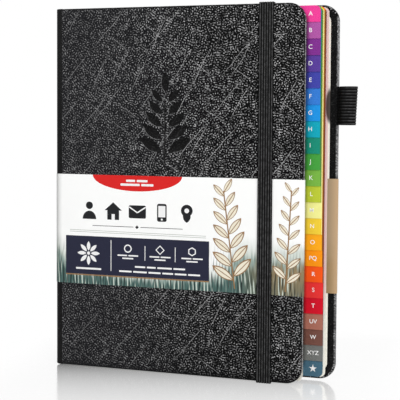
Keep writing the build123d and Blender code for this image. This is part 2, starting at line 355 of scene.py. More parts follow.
class SharedEffects:
    """The shader node groups that more than one finish places with its own values."""

    @staticmethod
    def group(name: str, inputs: dict[str, object], *outputs: str) -> tuple[NodeSheet, dict, dict]:
        """Starts a node group.

        Args:
            name: the group's name.
            inputs: each input's name and default; its type follows the default.
            outputs: the names of the numbers that it puts out.

        Returns:
            The group's sheet, what its inputs give and its outputs' sockets, by name.
        """
        tree = bpy.data.node_groups.new(name, "ShaderNodeTree")
        for title, default in inputs.items():
            kind = "NodeSocketFloat" if isinstance(default, float) else "NodeSocketVector"
            socket = tree.interface.new_socket(name=title, in_out="INPUT", socket_type=kind)
            socket.default_value = default
        for title in outputs:
            tree.interface.new_socket(name=title, in_out="OUTPUT", socket_type="NodeSocketFloat")
        sheet = NodeSheet(tree)
        entry, leave = tree.nodes.new("NodeGroupInput"), tree.nodes.new("NodeGroupOutput")
        given = {s.name: Value(sheet, s) if s.type == "VALUE" else s for s in entry.outputs}
        return sheet, given, {s.name: s for s in leave.inputs}

    @staticmethod
    def hatch() -> None:
        """Short fine strokes beside and across each other, at all angles or mostly at one."""
        sheet, given, out = SharedEffects.group(
            "hatch",
            {"Vector": (0.0, 0.0, 0.0), "Cells": 400.0, "Strokes": 1.8, "One Way": 0.0, "Lie": 0.0,
             "Start": 0.5, "Full": 0.7},
            "Streaks",
        )
        x, _, z = sheet.axes(given["Vector"])
        strokes = sheet.add(
            "TexGabor", {"gabor_type": "2D"}, Vector=sheet.vector(x, z, 0.0), Scale=given["Cells"],
            Frequency=given["Strokes"], Anisotropy=given["One Way"], Orientation=given["Lie"],
        )
        streaks = Value(sheet, strokes.outputs["Value"]).ramp(given["Start"], given["Full"])
        sheet.feed(out["Streaks"], streaks)

    @staticmethod
    def scratches() -> None:
        """Long thin straight lines at one slant, each with its own place, start and end."""
        sheet, given, out = SharedEffects.group(
            "scratches",
            {"Vector": (0.0, 0.0, 0.0), "Slant": 0.8, "Spacing": 0.01, "Length": 0.03, "Width": 0.0003,
             "Share": 0.5, "Seed": 0.0},
            "Lines",
        )
        sway_scale, sway, lane_margin, shuffle = 45.0, 4 * MM, 0.1, 7.0
        turned = sheet.add(
            "VectorRotate", {"rotation_type": "Y_AXIS"}, Vector=given["Vector"], Angle=given["Slant"]
        ).outputs[0]
        x, _, z = sheet.axes(turned)
        lane = (x + (sheet.noise(turned, sway_scale, 1.0) - 0.5) * sway) / given["Spacing"]
        number = sheet.math("FLOOR", lane) + given["Seed"]
        chance = sheet.chance("1D", W=number)
        middle = chance * (1 - 2 * lane_margin) + lane_margin
        away = abs(sheet.math("FRACT", lane) - middle) * given["Spacing"]
        along = chance * shuffle + z / given["Length"]
        stretch = sheet.vector(number, sheet.math("FLOOR", along), 0.0)
        drawn = sheet.chance("2D", Vector=stretch) < given["Share"]
        faded = abs(sheet.math("FRACT", along) - 0.5).ramp(0.2, 0.5, 1.0, 0.0)
        sheet.feed(out["Lines"], away.ramp(0.0, given["Width"], 1.0, 0.0) * (drawn * faded))

    @staticmethod
    def fibre() -> None:
        """The cloudy tone and fine tooth of paper."""
        sheet, given, out = SharedEffects.group(
            "fibre",
            {"Vector": (0.0, 0.0, 0.0), "Cloud": 90.0, "Tooth": 2600.0, "Depth": 0.05},
            "Tone", "Height",
        )
        cloud_share = 0.6
        tooth = sheet.noise(given["Vector"], given["Tooth"], 3.0, 0.6)
        cloud = sheet.noise(given["Vector"], given["Cloud"], 3.0, 0.5)
        shade = (cloud * cloud_share + tooth * (1 - cloud_share) - 0.5) * given["Depth"]
        sheet.feed(out["Tone"], shade + 1.0)
        sheet.feed(out["Height"], tooth)

    @staticmethod
    def knit() -> None:
        """Small loops in offset columns, as on woven elastic."""
        sheet, given, out = SharedEffects.group(
            "knit", {"Along": 0.0, "Across": 0.0, "Stitch": 0.6 * MM, "Column": 0.75 * MM}, "Height"
        )
        column = given["Across"] / given["Column"]
        offset = sheet.math("FLOOR", column) * math.pi
        loop = sheet.math("SINE", given["Along"] / given["Stitch"] * (2 * math.pi) + offset)
        bow = sheet.math("SINE", sheet.math("FRACT", column) * math.pi)
        sheet.feed(out["Height"], (loop * 0.5 + 0.5) * bow)

    @staticmethod
    def ridge() -> None:
        """One soft rolling skyline with grass blades on it: 1 below the line and 0 above."""
        sheet, given, out = SharedEffects.group(
            "ridge",
            {"Vector": (0.0, 0.0, 0.0), "Height": 0.06, "Swell": 0.01, "Length": 25.0, "Blades": 0.003,
             "Seed": 0.0, "Softness": 0.001},
            "Below",
        )
        blade_scale = 620.0
        x, _, z = sheet.axes(given["Vector"])
        place = x + given["Seed"]
        swell = sheet.line_noise(place, given["Length"], 2.0) - 0.5
        blade = sheet.math("POWER", sheet.line_noise(place, blade_scale, 1.0), 2.0)
        line = blade * given["Blades"] + (swell * given["Swell"] + given["Height"])
        sheet.feed(out["Below"], (line - z).ramp(0.0, given["Softness"]))


@dataclass(frozen=True)
class Finish(ABC):
    """A material's name and the plain values that are set on its shader."""

    name: str
    roughness: float = 0.5
    specular: float = 0.35

    @abstractmethod
    def dress(self, coat: "Coat") -> None:
        """Joins the finish's nodes."""

    def material(self) -> Material:
        """Makes the material."""
        coat = Coat(self)
        self.dress(coat)
        return coat.material


class Coat(NodeSheet):
    """A finish's new material: its node tree, with its Principled BSDF."""

    def __init__(self, finish: Finish) -> None:
        """Makes the material and sets the plain values on its shader."""
        self.material = bpy.data.materials.new(finish.name)
        self.material.use_nodes = True
        super().__init__(self.material.node_tree)
        self.shader = self.tree.nodes["Principled BSDF"]
        self.set("Roughness", finish.roughness)
        self.set("Specular IOR Level", finish.specular)

    def set(self, name: str, value: object) -> None:
        """Joins a value to one of the shader's inputs, or sets it there."""
        self.feed(self.shader.inputs[name], value)

    def tone(self, colour: object, **fibre: float) -> Value:
        """Sets a colour, as cloudy as paper of such fibre, and returns the height of its tooth."""
        paper = self.effect("fibre", Vector=self.object_place(), **fibre)
        self.set("Base Color", self.mix(1.0, colour, paper["Tone"], "MULTIPLY"))
        return paper["Height"]

    def bump(self, height: Value, strength: float, depth: float) -> None:
        """Raises the surface.

        Args:
            height: the height, 0 to 1.
            strength: how strongly it shows.
            depth: the depth of the relief, in metres.
        """
        self.set("Normal", self.add("Bump", Strength=strength, Distance=depth, Height=height).outputs[0])


@dataclass(frozen=True)
class Leatherette(Finish):
    """Black leatherette: pale streaks hatched in patches, which also paint glints on the grain, long
    scratches, and edges with wear and a painted highlight.

    Each scratch layer has its slant, spacing, length, width, share and seed. The ground is lighter and bluer
    on the spine side, a painted reflected haze.
    """

    reflected_haze: Colour = (0.0105, 0.0105, 0.0122, 1.0)
    deep: Colour = (0.0010, 0.0010, 0.0011, 1.0)
    streak: Colour = (0.62, 0.62, 0.625, 1.0)
    rubbed: Colour = (0.34, 0.34, 0.345, 1.0)
    streak_share: float = 1.0
    line_share: float = 0.9
    scratches: tuple[tuple[float, ...], ...] = (
        (-0.72, 8 * MM, 34 * MM, 0.2 * MM, 0.32, 0.0),
        (-0.50, 10 * MM, 26 * MM, 0.2 * MM, 0.32, 40.0),
        (0.95, 14 * MM, 18 * MM, 0.18 * MM, 0.25, 90.0),
    )
    lean: float = 0.8
    calm_strength: float = 0.46
    shine: float = 0.12
    relief: float = 0.14 * MM
    shading_ramp_start: float = -0.075
    shading_ramp_end: float = 0.045
    tail: float = 0.0

    def dress(self, coat: Coat) -> None:
        """Joins the finish's nodes."""
        place = coat.unrolled(coat.object_place(), self.lean)
        along, _, height = coat.axes(place)
        # Across the cover, from the spine side to the fore edge, the ground goes from a lighter, bluer tone,
        # a painted reflected haze, to deep black, and the streaks grow stronger, a painted sheen.
        across_cover = along.ramp(self.shading_ramp_start, self.shading_ramp_end)
        every_way = coat.effect(
            "hatch", Vector=place, Cells=430.0, Strokes=1.7, Start=across_cover * 0.02 + 0.52, Full=0.80
        )
        one_way = coat.effect(
            "hatch", Vector=place, Cells=310.0, Strokes=2.3, One_Way=0.7, Lie=across_cover * 0.77 + 0.8, Start=0.60,
            Full=0.85,
        )
        streaks = every_way["Streaks"].most(one_way["Streaks"])
        for slant, spacing, length, width, share, seed in self.scratches:
            scratch = coat.effect(
                "scratches", Vector=place, Slant=slant, Spacing=spacing, Length=length, Width=width,
                Share=share, Seed=seed,
            )
            streaks = streaks.most(scratch["Lines"] * self.line_share)
        cloud = coat.noise(place, 26.0, 3.0).ramp(0.3, 0.7, 0.64, 1.0)
        # The streaks are stronger higher up, a painted sheen, and weaker near the tail edge.
        upper = height.ramp(self.tail + 30 * MM, self.tail + 150 * MM, 0.7, 1.0)
        tail_fade = height.ramp(self.tail - 5.5 * MM, self.tail - 1.5 * MM, 0.3, 1.0)
        strength = across_cover * upper * (1 - self.calm_strength) + self.calm_strength
        shown = streaks * (strength * cloud * tail_fade) * self.streak_share
        colour = coat.mix(shown, coat.mix(across_cover, self.reflected_haze, self.deep), self.streak)
        # The pale tone on the edges is wear and a painted highlight, broken up by noise.
        patchy = coat.noise(coat.object_place(), 950.0, 3.0).ramp(0.40, 0.60, 0.25, 1.0)
        coat.set("Base Color", coat.mix(coat.attribute("rubbed") * patchy, colour, self.rubbed))
        coat.set("Roughness", shown * -self.shine + self.roughness)
        fine = coat.noise(place, 3200.0, 2.0) * 0.25
        coat.bump(fine + shown, strength=0.5, depth=self.relief)


@dataclass(frozen=True)
class PlainPaper(Finish):
    """Uncoated paper with a cloudy tone and fine tooth."""

    colour: Colour = (0.86, 0.84, 0.79, 1.0)
    # A painted pink reflection of the red tabs, in a band along a line and above a foot.
    red_bounce: Colour = (0.95, 0.66, 0.62, 1.0)
    red_bounce_line: float | None = None
    red_bounce_foot: float = 35 * MM
    red_bounce_rise: float = 30 * MM
    red_bounce_half: float = 1.0 * MM
    red_bounce_soft: float = 0.3 * MM
    # A painted shadow of the pen loop: its colour, middle, reach and core.
    dark_tint: Colour = (0.09, 0.077, 0.075, 1.0)
    loop_shadow_middle: Point | None = None
    loop_shadow_reach: Point = (2.95 * MM, 11.5 * MM)
    loop_shadow_core: float = 0.4

    def dress(self, coat: Coat) -> None:
        """Joins the nodes, with a painted pink reflection of the red tabs beside them and a painted shadow of
        the pen loop beside it, where asked for.
        """
        colour: object = self.colour
        x, _, z = coat.axes(coat.object_place())
        # The painted pink reflection of the red tabs.
        if self.red_bounce_line is not None:
            half, soft = self.red_bounce_half, self.red_bounce_soft
            near = abs(x - self.red_bounce_line).ramp(half - soft, half + soft, 1.0, 0.0)
            high = z.ramp(self.red_bounce_foot, self.red_bounce_foot + self.red_bounce_rise)
            colour = coat.mix(near * high, colour, self.red_bounce)
        # The painted shadow of the pen loop, darkest round its middle.
        if self.loop_shadow_middle is not None:
            across, up = (
                (axis - middle) / reach
                for axis, middle, reach in zip((x, z), self.loop_shadow_middle, self.loop_shadow_reach)
            )
            loop_shadow = (across * across + up * up).ramp(self.loop_shadow_core, 1.0, 1.0, 0.0)
            colour = coat.mix(loop_shadow, colour, self.dark_tint, "MULTIPLY")
        coat.bump(coat.tone(colour, Depth=0.12), strength=0.2, depth=0.04 * MM)


@dataclass(frozen=True)
class IndexPaper(Finish):
    """A section's leaves: ruled cream pages with a printed strip, a painted shadow of the cover's edge on the
    tab and painted shade on the strip's fore edges.
    """

    tab: Tab = Tab.A
    strip_start: float = 0.0
    strip_foot: float = 0.0
    rule_start: float = 0.0
    fore: float = 0.0
    tab_head: float = 0.0
    cover_line: float = 0.0
    cover_ends: Point = (0.0, 0.0)
    page: Colour = (0.78, 0.75, 0.67, 1.0)
    rule: Colour = (0.50, 0.52, 0.52, 1.0)
    rule_pitch: float = 8 * MM
    rule_half: Point = (0.014, 0.022)
    rule_gap: float = 6 * MM
    edge_shade: float = 0.2
    margin_width: float = 0.31 * MM
    margin_soft: float = 0.05 * MM
    cover_shadow: float = 0.6
    cover_shadow_reach: float = 2.1 * MM
    cover_corner: float = 10 * MM

    def dress(self, coat: Coat) -> None:
        """Joins the finish's nodes."""
        x, _, z = coat.axes(coat.object_place())
        ruled = abs(coat.math("FRACT", z / self.rule_pitch) - 0.5).ramp(*self.rule_half, 1.0, 0.0)
        inside = (x > self.rule_start) * (x < self.strip_start - self.rule_gap)
        colour = coat.mix(ruled * inside, self.page, self.rule)
        strip = (x > self.strip_start) * (z > self.strip_foot)
        # The strip's fore-edge margin takes the tab's margin colour, a painted shade and light.
        margin_start = self.fore - self.margin_width
        margin = x.ramp(margin_start - self.margin_soft, margin_start + self.margin_soft)
        colour = coat.mix(strip, colour, coat.mix(margin, self.tab.colour, self.tab.margin))
        # A painted shadow of the front cover's edge on the tab's first face, along the edge as the camera
        # sees it, faded out at the cover's round corners.
        (tail, head), corner = self.cover_ends, self.cover_corner
        straight = z.ramp(tail + corner / 2, tail + corner)
        straight *= z.ramp(head - corner, head - corner / 2, 1.0, 0.0)
        in_view = coat.attribute("first_face") * (z < self.tab_head) * straight
        rubbed = abs(x - self.cover_line).ramp(0.0, self.cover_shadow_reach, self.cover_shadow, 0.0)
        colour = coat.mix(rubbed * (in_view * strip), colour, BLACK)
        # Painted shade on the strip's fore edges.
        colour = coat.mix(coat.attribute("edge") * strip * self.edge_shade, colour, BLACK)
        coat.bump(coat.tone(colour, Depth=0.10), strength=0.15, depth=0.03 * MM)


@dataclass(frozen=True)
class PrintInk(Finish):
    """Printing ink on coated paper, a little uneven."""

    colour: Colour = (0.8, 0.8, 0.8, 1.0)
    unevenness: float = 0.12

    def dress(self, coat: Coat) -> None:
        """Joins the finish's nodes."""
        coat.tone(self.colour, Cloud=260.0, Depth=self.unevenness)


@dataclass(frozen=True)
class BandPaper(Finish):
    """Coated white paper, printed with misty rolling meadows and a tan slope towards the fore edge; beside
    the back fore edge the tan pales towards the fold, a painted light, and near the spine the paper darkens
    at the bends, a painted shade.
    """

    white: Colour = (0.96, 0.965, 0.955, 1.0)
    mist: Colour = (0.58, 0.64, 0.58, 1.0)
    meadow: Colour = (0.20, 0.30, 0.27, 1.0)
    grass: Colour = (0.04, 0.10, 0.09, 1.0)
    tan: Colour = (0.33, 0.22, 0.10, 1.0)
    lit_tan: Colour = (0.545, 0.37, 0.215, 1.0)
    dew: Colour = (0.66, 0.74, 0.66, 1.0)
    dark_tint: Colour = (0.004, 0.012, 0.011, 1.0)
    bend_shade: float = 0.4
    tuft_scale: tuple[float, float, float] = (1.0, 1.0, 0.22)
    foot: float = 0.05
    left_slope: float = -0.089
    right_slope: float = 0.03
    slope_start: float = 0.02
    wrap_start: float = 0.061
    wrap_end: float = 0.0778

    def meadows(self, coat: Coat, flat: Socket, x: Value, z: Value) -> Socket:
        """Draws the skylines behind each other, and the tan slope.

        Args:
            coat: the material.
            flat: the place on the band, laid flat.
            x, z: the place across and up.

        Returns:
            The colour.
        """
        ridges = (
            (self.mist, 16.0, 16.0, 12.0, 14.0, 4.0, 0.31, 9.0, 0.5),
            (self.mist, 10.0, 18.0, 14.0, 19.0, 4.0, 0.83, 6.0, 0.7),
            (self.meadow, 6.5, 15.0, 12.0, 24.0, 8.0, 0.17, 6.0, 0.85),
            (self.grass, 4.5, 9.0, 8.0, 30.0, 10.0, 0.57, 4.5, 0.9),
        )
        left, right, foot = self.left_slope, self.right_slope, self.foot
        sides = x.ramp(left, left + 16 * MM, 1.0, 0.0) + x.ramp(right - 20 * MM, right)
        colour: object = self.white
        for tint, height, rise, swell, length, blades, seed, softness, share in ridges:
            below = coat.effect(
                "ridge", Vector=flat, Height=sides * (rise * MM) + (foot + height * MM), Swell=swell * MM,
                Length=length, Blades=blades * MM, Seed=seed, Softness=softness * MM,
            )["Below"]
            colour = coat.mix(below * share, colour, tint)
        slope = coat.effect(
            "ridge", Vector=flat, Height=foot + 18 * MM, Swell=10 * MM, Length=20.0, Blades=12 * MM,
            Seed=0.41, Softness=8 * MM,
        )["Below"]
        near_edge = x.ramp(self.slope_start, self.slope_start + 30 * MM) * z.ramp(foot, foot + 14 * MM, 0.6)
        return coat.mix(slope * near_edge * 0.75, colour, self.tan)

    def dress(self, coat: Coat) -> None:
        """Joins the finish's nodes."""
        place = coat.object_place()
        flat = coat.unrolled(place)
        x, y, z = coat.axes(place)
        wrap, end, left = self.wrap_start, self.wrap_end, self.left_slope
        colour = self.meadows(coat, flat, x, z)
        colour = coat.mix(x.ramp(wrap, wrap + 8 * MM, 0.0, 0.92), colour, self.tan)
        # Paler tan within about five millimetres of the back fore edge, a painted light on the fold.
        colour = coat.mix(x.ramp(end - 5.2 * MM, end + 1 * MM, 0.0, 0.95), colour, self.lit_tan)
        low = z.ramp(self.foot + 6 * MM, self.foot + 30 * MM, 1.0, 0.0)
        grown = low * x.ramp(wrap - 4 * MM, wrap, 1.0, 0.0)
        tufts = ((self.dark_tint, 0.37, -0.12, 0.51, 0.9), (self.dew, 0.0, 0.14, 0.55, 0.85))
        for tint, shift, lie, start, share in tufts:
            moved = coat.add("Mapping", Vector=flat, Location=(shift, 0.0, 0.0), Scale=self.tuft_scale)
            blades = coat.effect(
                "hatch", Vector=moved.outputs[0], Cells=330.0, Strokes=1.6, One_Way=0.75, Lie=lie,
                Start=start, Full=start + 0.14,
            )["Streaks"]
            colour = coat.mix(blades * grown * share, colour, tint)
        bend = x.ramp(left, left + 5.2 * MM, self.bend_shade, 0.0) * abs(y).ramp(3.5 * MM, 7.5 * MM)
        tooth = coat.tone(coat.mix(bend, colour, BLACK), Depth=0.05)
        coat.bump(tooth, strength=0.08, depth=0.02 * MM)


@dataclass(frozen=True)
class Elastic(Finish):
    """Black woven elastic; the ribs are in the piece and their small loops in the nodes, which also paint a
    highlight on the crests, a shade in the gaps and, on the pen loop, a shade near the cover.
    """

    crest: Colour = (0.118, 0.118, 0.12, 1.0)
    gap: Colour = (0.002, 0.002, 0.002, 1.0)
    upright: bool = True
    middle: float = 0.0
    width: float = 8.3 * MM
    ribs: int = 6
    shaded_end: float = -1.0
    shading_ramp_end: float = -0.9
    shaded_share: float = 0.12

    def dress(self, coat: Coat) -> None:
        """Joins the finish's nodes."""
        place = coat.object_place()
        x, y, z = coat.axes(place)
        along, across = (y + z, x) if self.upright else (x + y, z)
        knit = coat.effect("knit", Along=along, Across=across)["Height"]
        share = (across - (self.middle - self.width / 2)) / self.width
        crests = coat.math("COSINE", share * (2 * math.pi * self.ribs)).ramp(0.2, -1.0)
        uneven = coat.noise(place, 520.0, 2.0).ramp(0.36, 0.64, 0.45, 1.0)
        # Painted light: paler crests and darker gaps on the ribs, dimmed near the cover on the pen loop, a
        # painted shade.
        lit = (knit * 0.5 + 0.5) * crests * uneven * x.ramp(self.shaded_end, self.shading_ramp_end, self.shaded_share)
        coat.set("Base Color", coat.mix(lit, self.gap, self.crest))
        coat.set("Roughness", knit * -0.15 + self.roughness)
        coat.bump(knit, strength=0.5, depth=0.12 * MM)


@dataclass(frozen=True)
class EndBandThread(Finish):
    """Two threads wound in turn over the small roll at the end of the spine."""

    pale: Colour = (0.60, 0.57, 0.50, 1.0)
    dark: Colour = (0.012, 0.012, 0.013, 1.0)
    pitch: float = 1.1 * MM

    def dress(self, coat: Coat) -> None:
        """Joins the finish's nodes."""
        _, y, _ = coat.axes(coat.object_place())
        wave = coat.math("SINE", coat.math("FRACT", y / self.pitch) * (2 * math.pi))
        coat.set("Base Color", coat.mix(wave.ramp(-0.2, 0.2), self.dark, self.pale))
        coat.bump(abs(wave), strength=0.5, depth=0.1 * MM)


def absorb(target: BMesh, part: BMesh) -> None:
    """Moves a part's geometry into another mesh and frees the part."""
    mesh = bpy.data.meshes.new("part")
    part.to_mesh(mesh)
    part.free()
    target.from_mesh(mesh)
    bpy.data.meshes.remove(mesh)


def flat_face(corners: Sequence[Sequence[float]]) -> BMesh:
    """Starts a mesh with one face.

    Args:
        corners: the face's corners in order, each a point in space.

    Returns:
        The mesh.
    """
    shape = bmesh.new()
    shape.faces.new([shape.verts.new(corner) for corner in corners])
    return shape


def round_corners(shape: BMesh, corners: Sequence[BMVert], radius: float, segments: int) -> None:
    """Rounds some corners of a flat face.

    Args:
        shape: the mesh.
        corners: the corners to round.
        radius: their radius.
        segments: how many edges each arc has.
    """
    bmesh.ops.bevel(
        shape, geom=list(corners), offset=radius, offset_type="OFFSET", segments=segments, profile=0.5,
        affect="VERTICES", material=-1,
    )


def thicken(shape: BMesh, travel: Sequence[float]) -> None:
    """Extrudes all of a flat mesh's faces into a closed solid.

    Args:
        shape: the mesh.
        travel: how far and which way the faces are drawn out.
    """
    made = bmesh.ops.extrude_face_region(shape, geom=shape.faces[:])["geom"]
    bmesh.ops.translate(shape, verts=[g for g in made if isinstance(g, BMVert)], vec=Vector(travel))


def box_mesh(low: Sequence[float], high: Sequence[float]) -> BMesh:
    """Makes a closed box between two corners."""
    shape = bmesh.new()
    bmesh.ops.create_cube(shape, size=1.0)
    low, high = Vector(low), Vector(high)
    bmesh.ops.scale(shape, verts=shape.verts[:], vec=high - low)
    bmesh.ops.translate(shape, verts=shape.verts[:], vec=(low + high) / 2)
    return shape


def whole(shape: BMesh) -> list[BMVert | BMEdge | BMFace]:
    """All of a mesh's corners, edges and faces, for the operators that take them together."""
    return shape.verts[:] + shape.edges[:] + shape.faces[:]


def move(shape: BMesh, matrix: Matrix) -> None:
    """Moves and turns all of a mesh."""
    bmesh.ops.transform(shape, matrix=matrix, verts=shape.verts[:])


def upright(origin: Sequence[float]) -> Matrix:
    """The move that stands a flat drawing up to face the reader, with its zero at an origin."""
    return Matrix.Translation(origin) @ Matrix.Rotation(math.pi / 2, 4, "X")


def laid(at: Point, lift: float, turn: float) -> Matrix:
    """The move that turns a flat drawing to the left by some degrees and lays it at a point."""
    return Matrix.Translation((*at, lift)) @ Matrix.Rotation(math.radians(turn), 4, "Z")


def upright_face(across: Point, depth: float, up: Point) -> BMesh:
    """Starts a mesh with one upright rectangle, between two limits across and two limits up."""
    (left, right), (foot, top) = across, up
    return flat_face([(left, depth, foot), (right, depth, foot), (right, depth, top), (left, depth, top)])


def soften_edges(shape: BMesh, edges: Sequence[BMEdge], radius: float, segments: int) -> list[BMFace]:
    """Rounds some edges.

    Args:
        shape: the mesh.
        edges: the edges to round.
        radius: their radius.
        segments: how many faces lie across each round.

    Returns:
        The new faces.
    """
    return bmesh.ops.bevel(
        shape, geom=edges, offset=radius, offset_type="OFFSET", segments=segments, profile=0.5,
        affect="EDGES", clamp_overlap=True, material=-1,
    )["faces"]


def show(name: str, data: bpy.types.ID) -> Object:
    """Makes an object of a mesh, a lamp or a camera, and links it to the scene."""
    item = bpy.data.objects.new(name, data)
    bpy.context.scene.collection.objects.link(item)
    return item


def carve(body: BMesh, cutter: BMesh) -> BMesh:
    """Cuts one closed shape out of another.

    Args:
        body: the shape to cut; it is freed.
        cutter: the shape that is taken away; it is freed.

    Returns:
        What is left.
    """
    objects = []
    for shape in (body, cutter):
        mesh = bpy.data.meshes.new("carve")
        bmesh.ops.recalc_face_normals(shape, faces=shape.faces[:])
        shape.to_mesh(mesh)
        shape.free()
        objects.append(show("carve", mesh))
    modifier = objects[0].modifiers.new("carve", "BOOLEAN")
    modifier.object, modifier.operation, modifier.solver = objects[1], "DIFFERENCE", "EXACT"
    modifier.use_self = True
    left = bmesh.new()
    left.from_object(objects[0], bpy.context.evaluated_depsgraph_get())
    for item in objects:
        mesh = item.data
        bpy.data.objects.remove(item)
        bpy.data.meshes.remove(mesh)
    return left


def finish_piece(
    name: str, shape: BMesh, materials: Sequence[Material], smooth_below: float = 40.0
) -> Object:
    """Closes a mesh's seams and makes it an object of the scene.

    Args:
        name: the piece's name.
        shape: its mesh, in place; it is freed.
        materials: its materials, by the faces' indices.
        smooth_below: edges that turn by less than this many degrees are shaded smooth.

    Returns:
        The piece.
    """
    bmesh.ops.remove_doubles(shape, verts=shape.verts[:], dist=WELD)
    bmesh.ops.recalc_face_normals(shape, faces=shape.faces[:])
    mesh = bpy.data.meshes.new(name)
    shape.to_mesh(mesh)
    shape.free()
    mesh.shade_smooth()
    mesh.set_sharp_from_angle(angle=math.radians(smooth_below))
    for material in materials:
        mesh.materials.append(material)
    piece = show(name, mesh)
    return piece


class Sweep:
    """A closed section that is drawn along runs and round bends."""

    def __init__(self, section: BMesh, capped: bool = True) -> None:
        """Starts at a mesh with one face, the section.

        Args:
            section: the mesh, which the sweep goes on with.
            capped: whether the first face stays as an end.
        """
        self.shape = section
        face = section.faces[:][0]
        self.ends = list(face.edges)
        if not capped:
            bmesh.ops.delete(section, geom=[face], context="FACES_ONLY")

    def run(self, travel: Sequence[float], steps: int = 1) -> "Sweep":
        """Draws the section straight on, in equal steps.

        Args:
            travel: the whole way.
            steps: how many steps it takes.

        Returns:
            The sweep itself.
        """
        for _ in range(steps):
            made = bmesh.ops.extrude_edge_only(self.shape, edges=self.ends)["geom"]
            verts = {g for g in made if isinstance(g, BMVert)}
            bmesh.ops.translate(self.shape, verts=list(verts), vec=Vector(travel) / steps)
            self.ends = [g for g in made if isinstance(g, BMEdge) and set(g.verts) <= verts]
        return self

    def bend(self, centre: Sequence[float], axis: Sequence[float], degrees: float, steps: int) -> "Sweep":
        """Spins the section round a centre.

        Args:
            centre, axis: the line it turns about.
            degrees: how far it turns.
            steps: how many steps it takes.

        Returns:
            The sweep itself.
        """
        verts = list({vert for edge in self.ends for vert in edge.verts})
        made = bmesh.ops.spin(
            self.shape, geom=verts + self.ends, cent=Vector(centre), axis=Vector(axis),
            angle=math.radians(degrees), steps=steps, use_merge=False, use_duplicate=False,
        )["geom_last"]
        self.ends = [g for g in made if isinstance(g, BMEdge)]
        return self

    def close(self) -> BMesh:
        """Fills the last end and returns the mesh."""
        bmesh.ops.edgeloop_fill(self.shape, edges=self.ends)
        return self.shape


def ribbed_section(width: float, thickness: float, ribs: int, rise: float) -> BMesh:
    """A strip's section, X across and Y through it, with rounded ribs on its upper side.

    Args:
        width, thickness: the strip's size.
        ribs: how many ribs lie side by side.
        rise: how far the ribs stand out of the strip, within its thickness.

    Returns:
        A mesh with the one face.
    """
    half, steps_per_rib = width / 2, 6
    section = flat_face([(-half, 0, 0), (half, 0, 0), (half, thickness, 0), (-half, thickness, 0)])
    top = [edge for edge in section.edges if all(vert.co.y > thickness / 2 for vert in edge.verts)]
    bmesh.ops.subdivide_edges(section, edges=top, cuts=ribs * steps_per_rib - 1)
    for vert in section.verts:
        if vert.co.y > thickness / 2:
            share = (vert.co.x + half) / width
            vert.co.y -= rise * (0.5 + 0.5 * math.cos(2 * math.pi * ribs * share))
    return section


@dataclass(frozen=True)
class CaseLines:
    """The case's outer lines in the shared frame, in metres, and the bend at the spine's corners."""

    spine: float
    front: float
    back: float
    front_fore: float
    back_fore: float
    tail: float
    head: float
    spine_radius: float = 3 * MM
    bend_reach: float = 1.9 * MM

    @classmethod
    def read(cls) -> "CaseLines":
        """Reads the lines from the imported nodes."""
        spine_low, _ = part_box("spine_wrap")
        front_low, front_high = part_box("front_cover_wrap")
        _, back_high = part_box("back_cover_wrap")
        return cls(
            spine=spine_low[0], front=front_low[1], back=back_high[1], front_fore=front_high[0],
            back_fore=back_high[0], tail=front_low[2], head=front_high[2],
        )

    def face(self, side: Side) -> float:
        """The Y of a cover's outer face."""
        return self.front if side is Side.FRONT else self.back

    def fore(self, side: Side) -> float:
        """The X of a cover's fore edge."""
        return self.front_fore if side is Side.FRONT else self.back_fore

    def cover_body(self, side: Side) -> str:
        """The CAD body of a cover."""
        return "front_cover" if side is Side.FRONT else "back_cover"

    def bend_piece(self, piece: Object, side: Side) -> Object:
        """Lets a piece bend from the spine to a cover, over a reach each way from the corner's middle."""
        inset = self.spine_radius * (1 - math.sqrt(0.5))
        middle = Vector((self.spine + inset, self.face(side) + side.value * inset, 0.0))
        way = Vector((1.0, -side.value, 0.0)).normalized() * self.bend_reach
        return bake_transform(piece, "spine", self.cover_body(side), tuple(middle - way), tuple(middle + way))


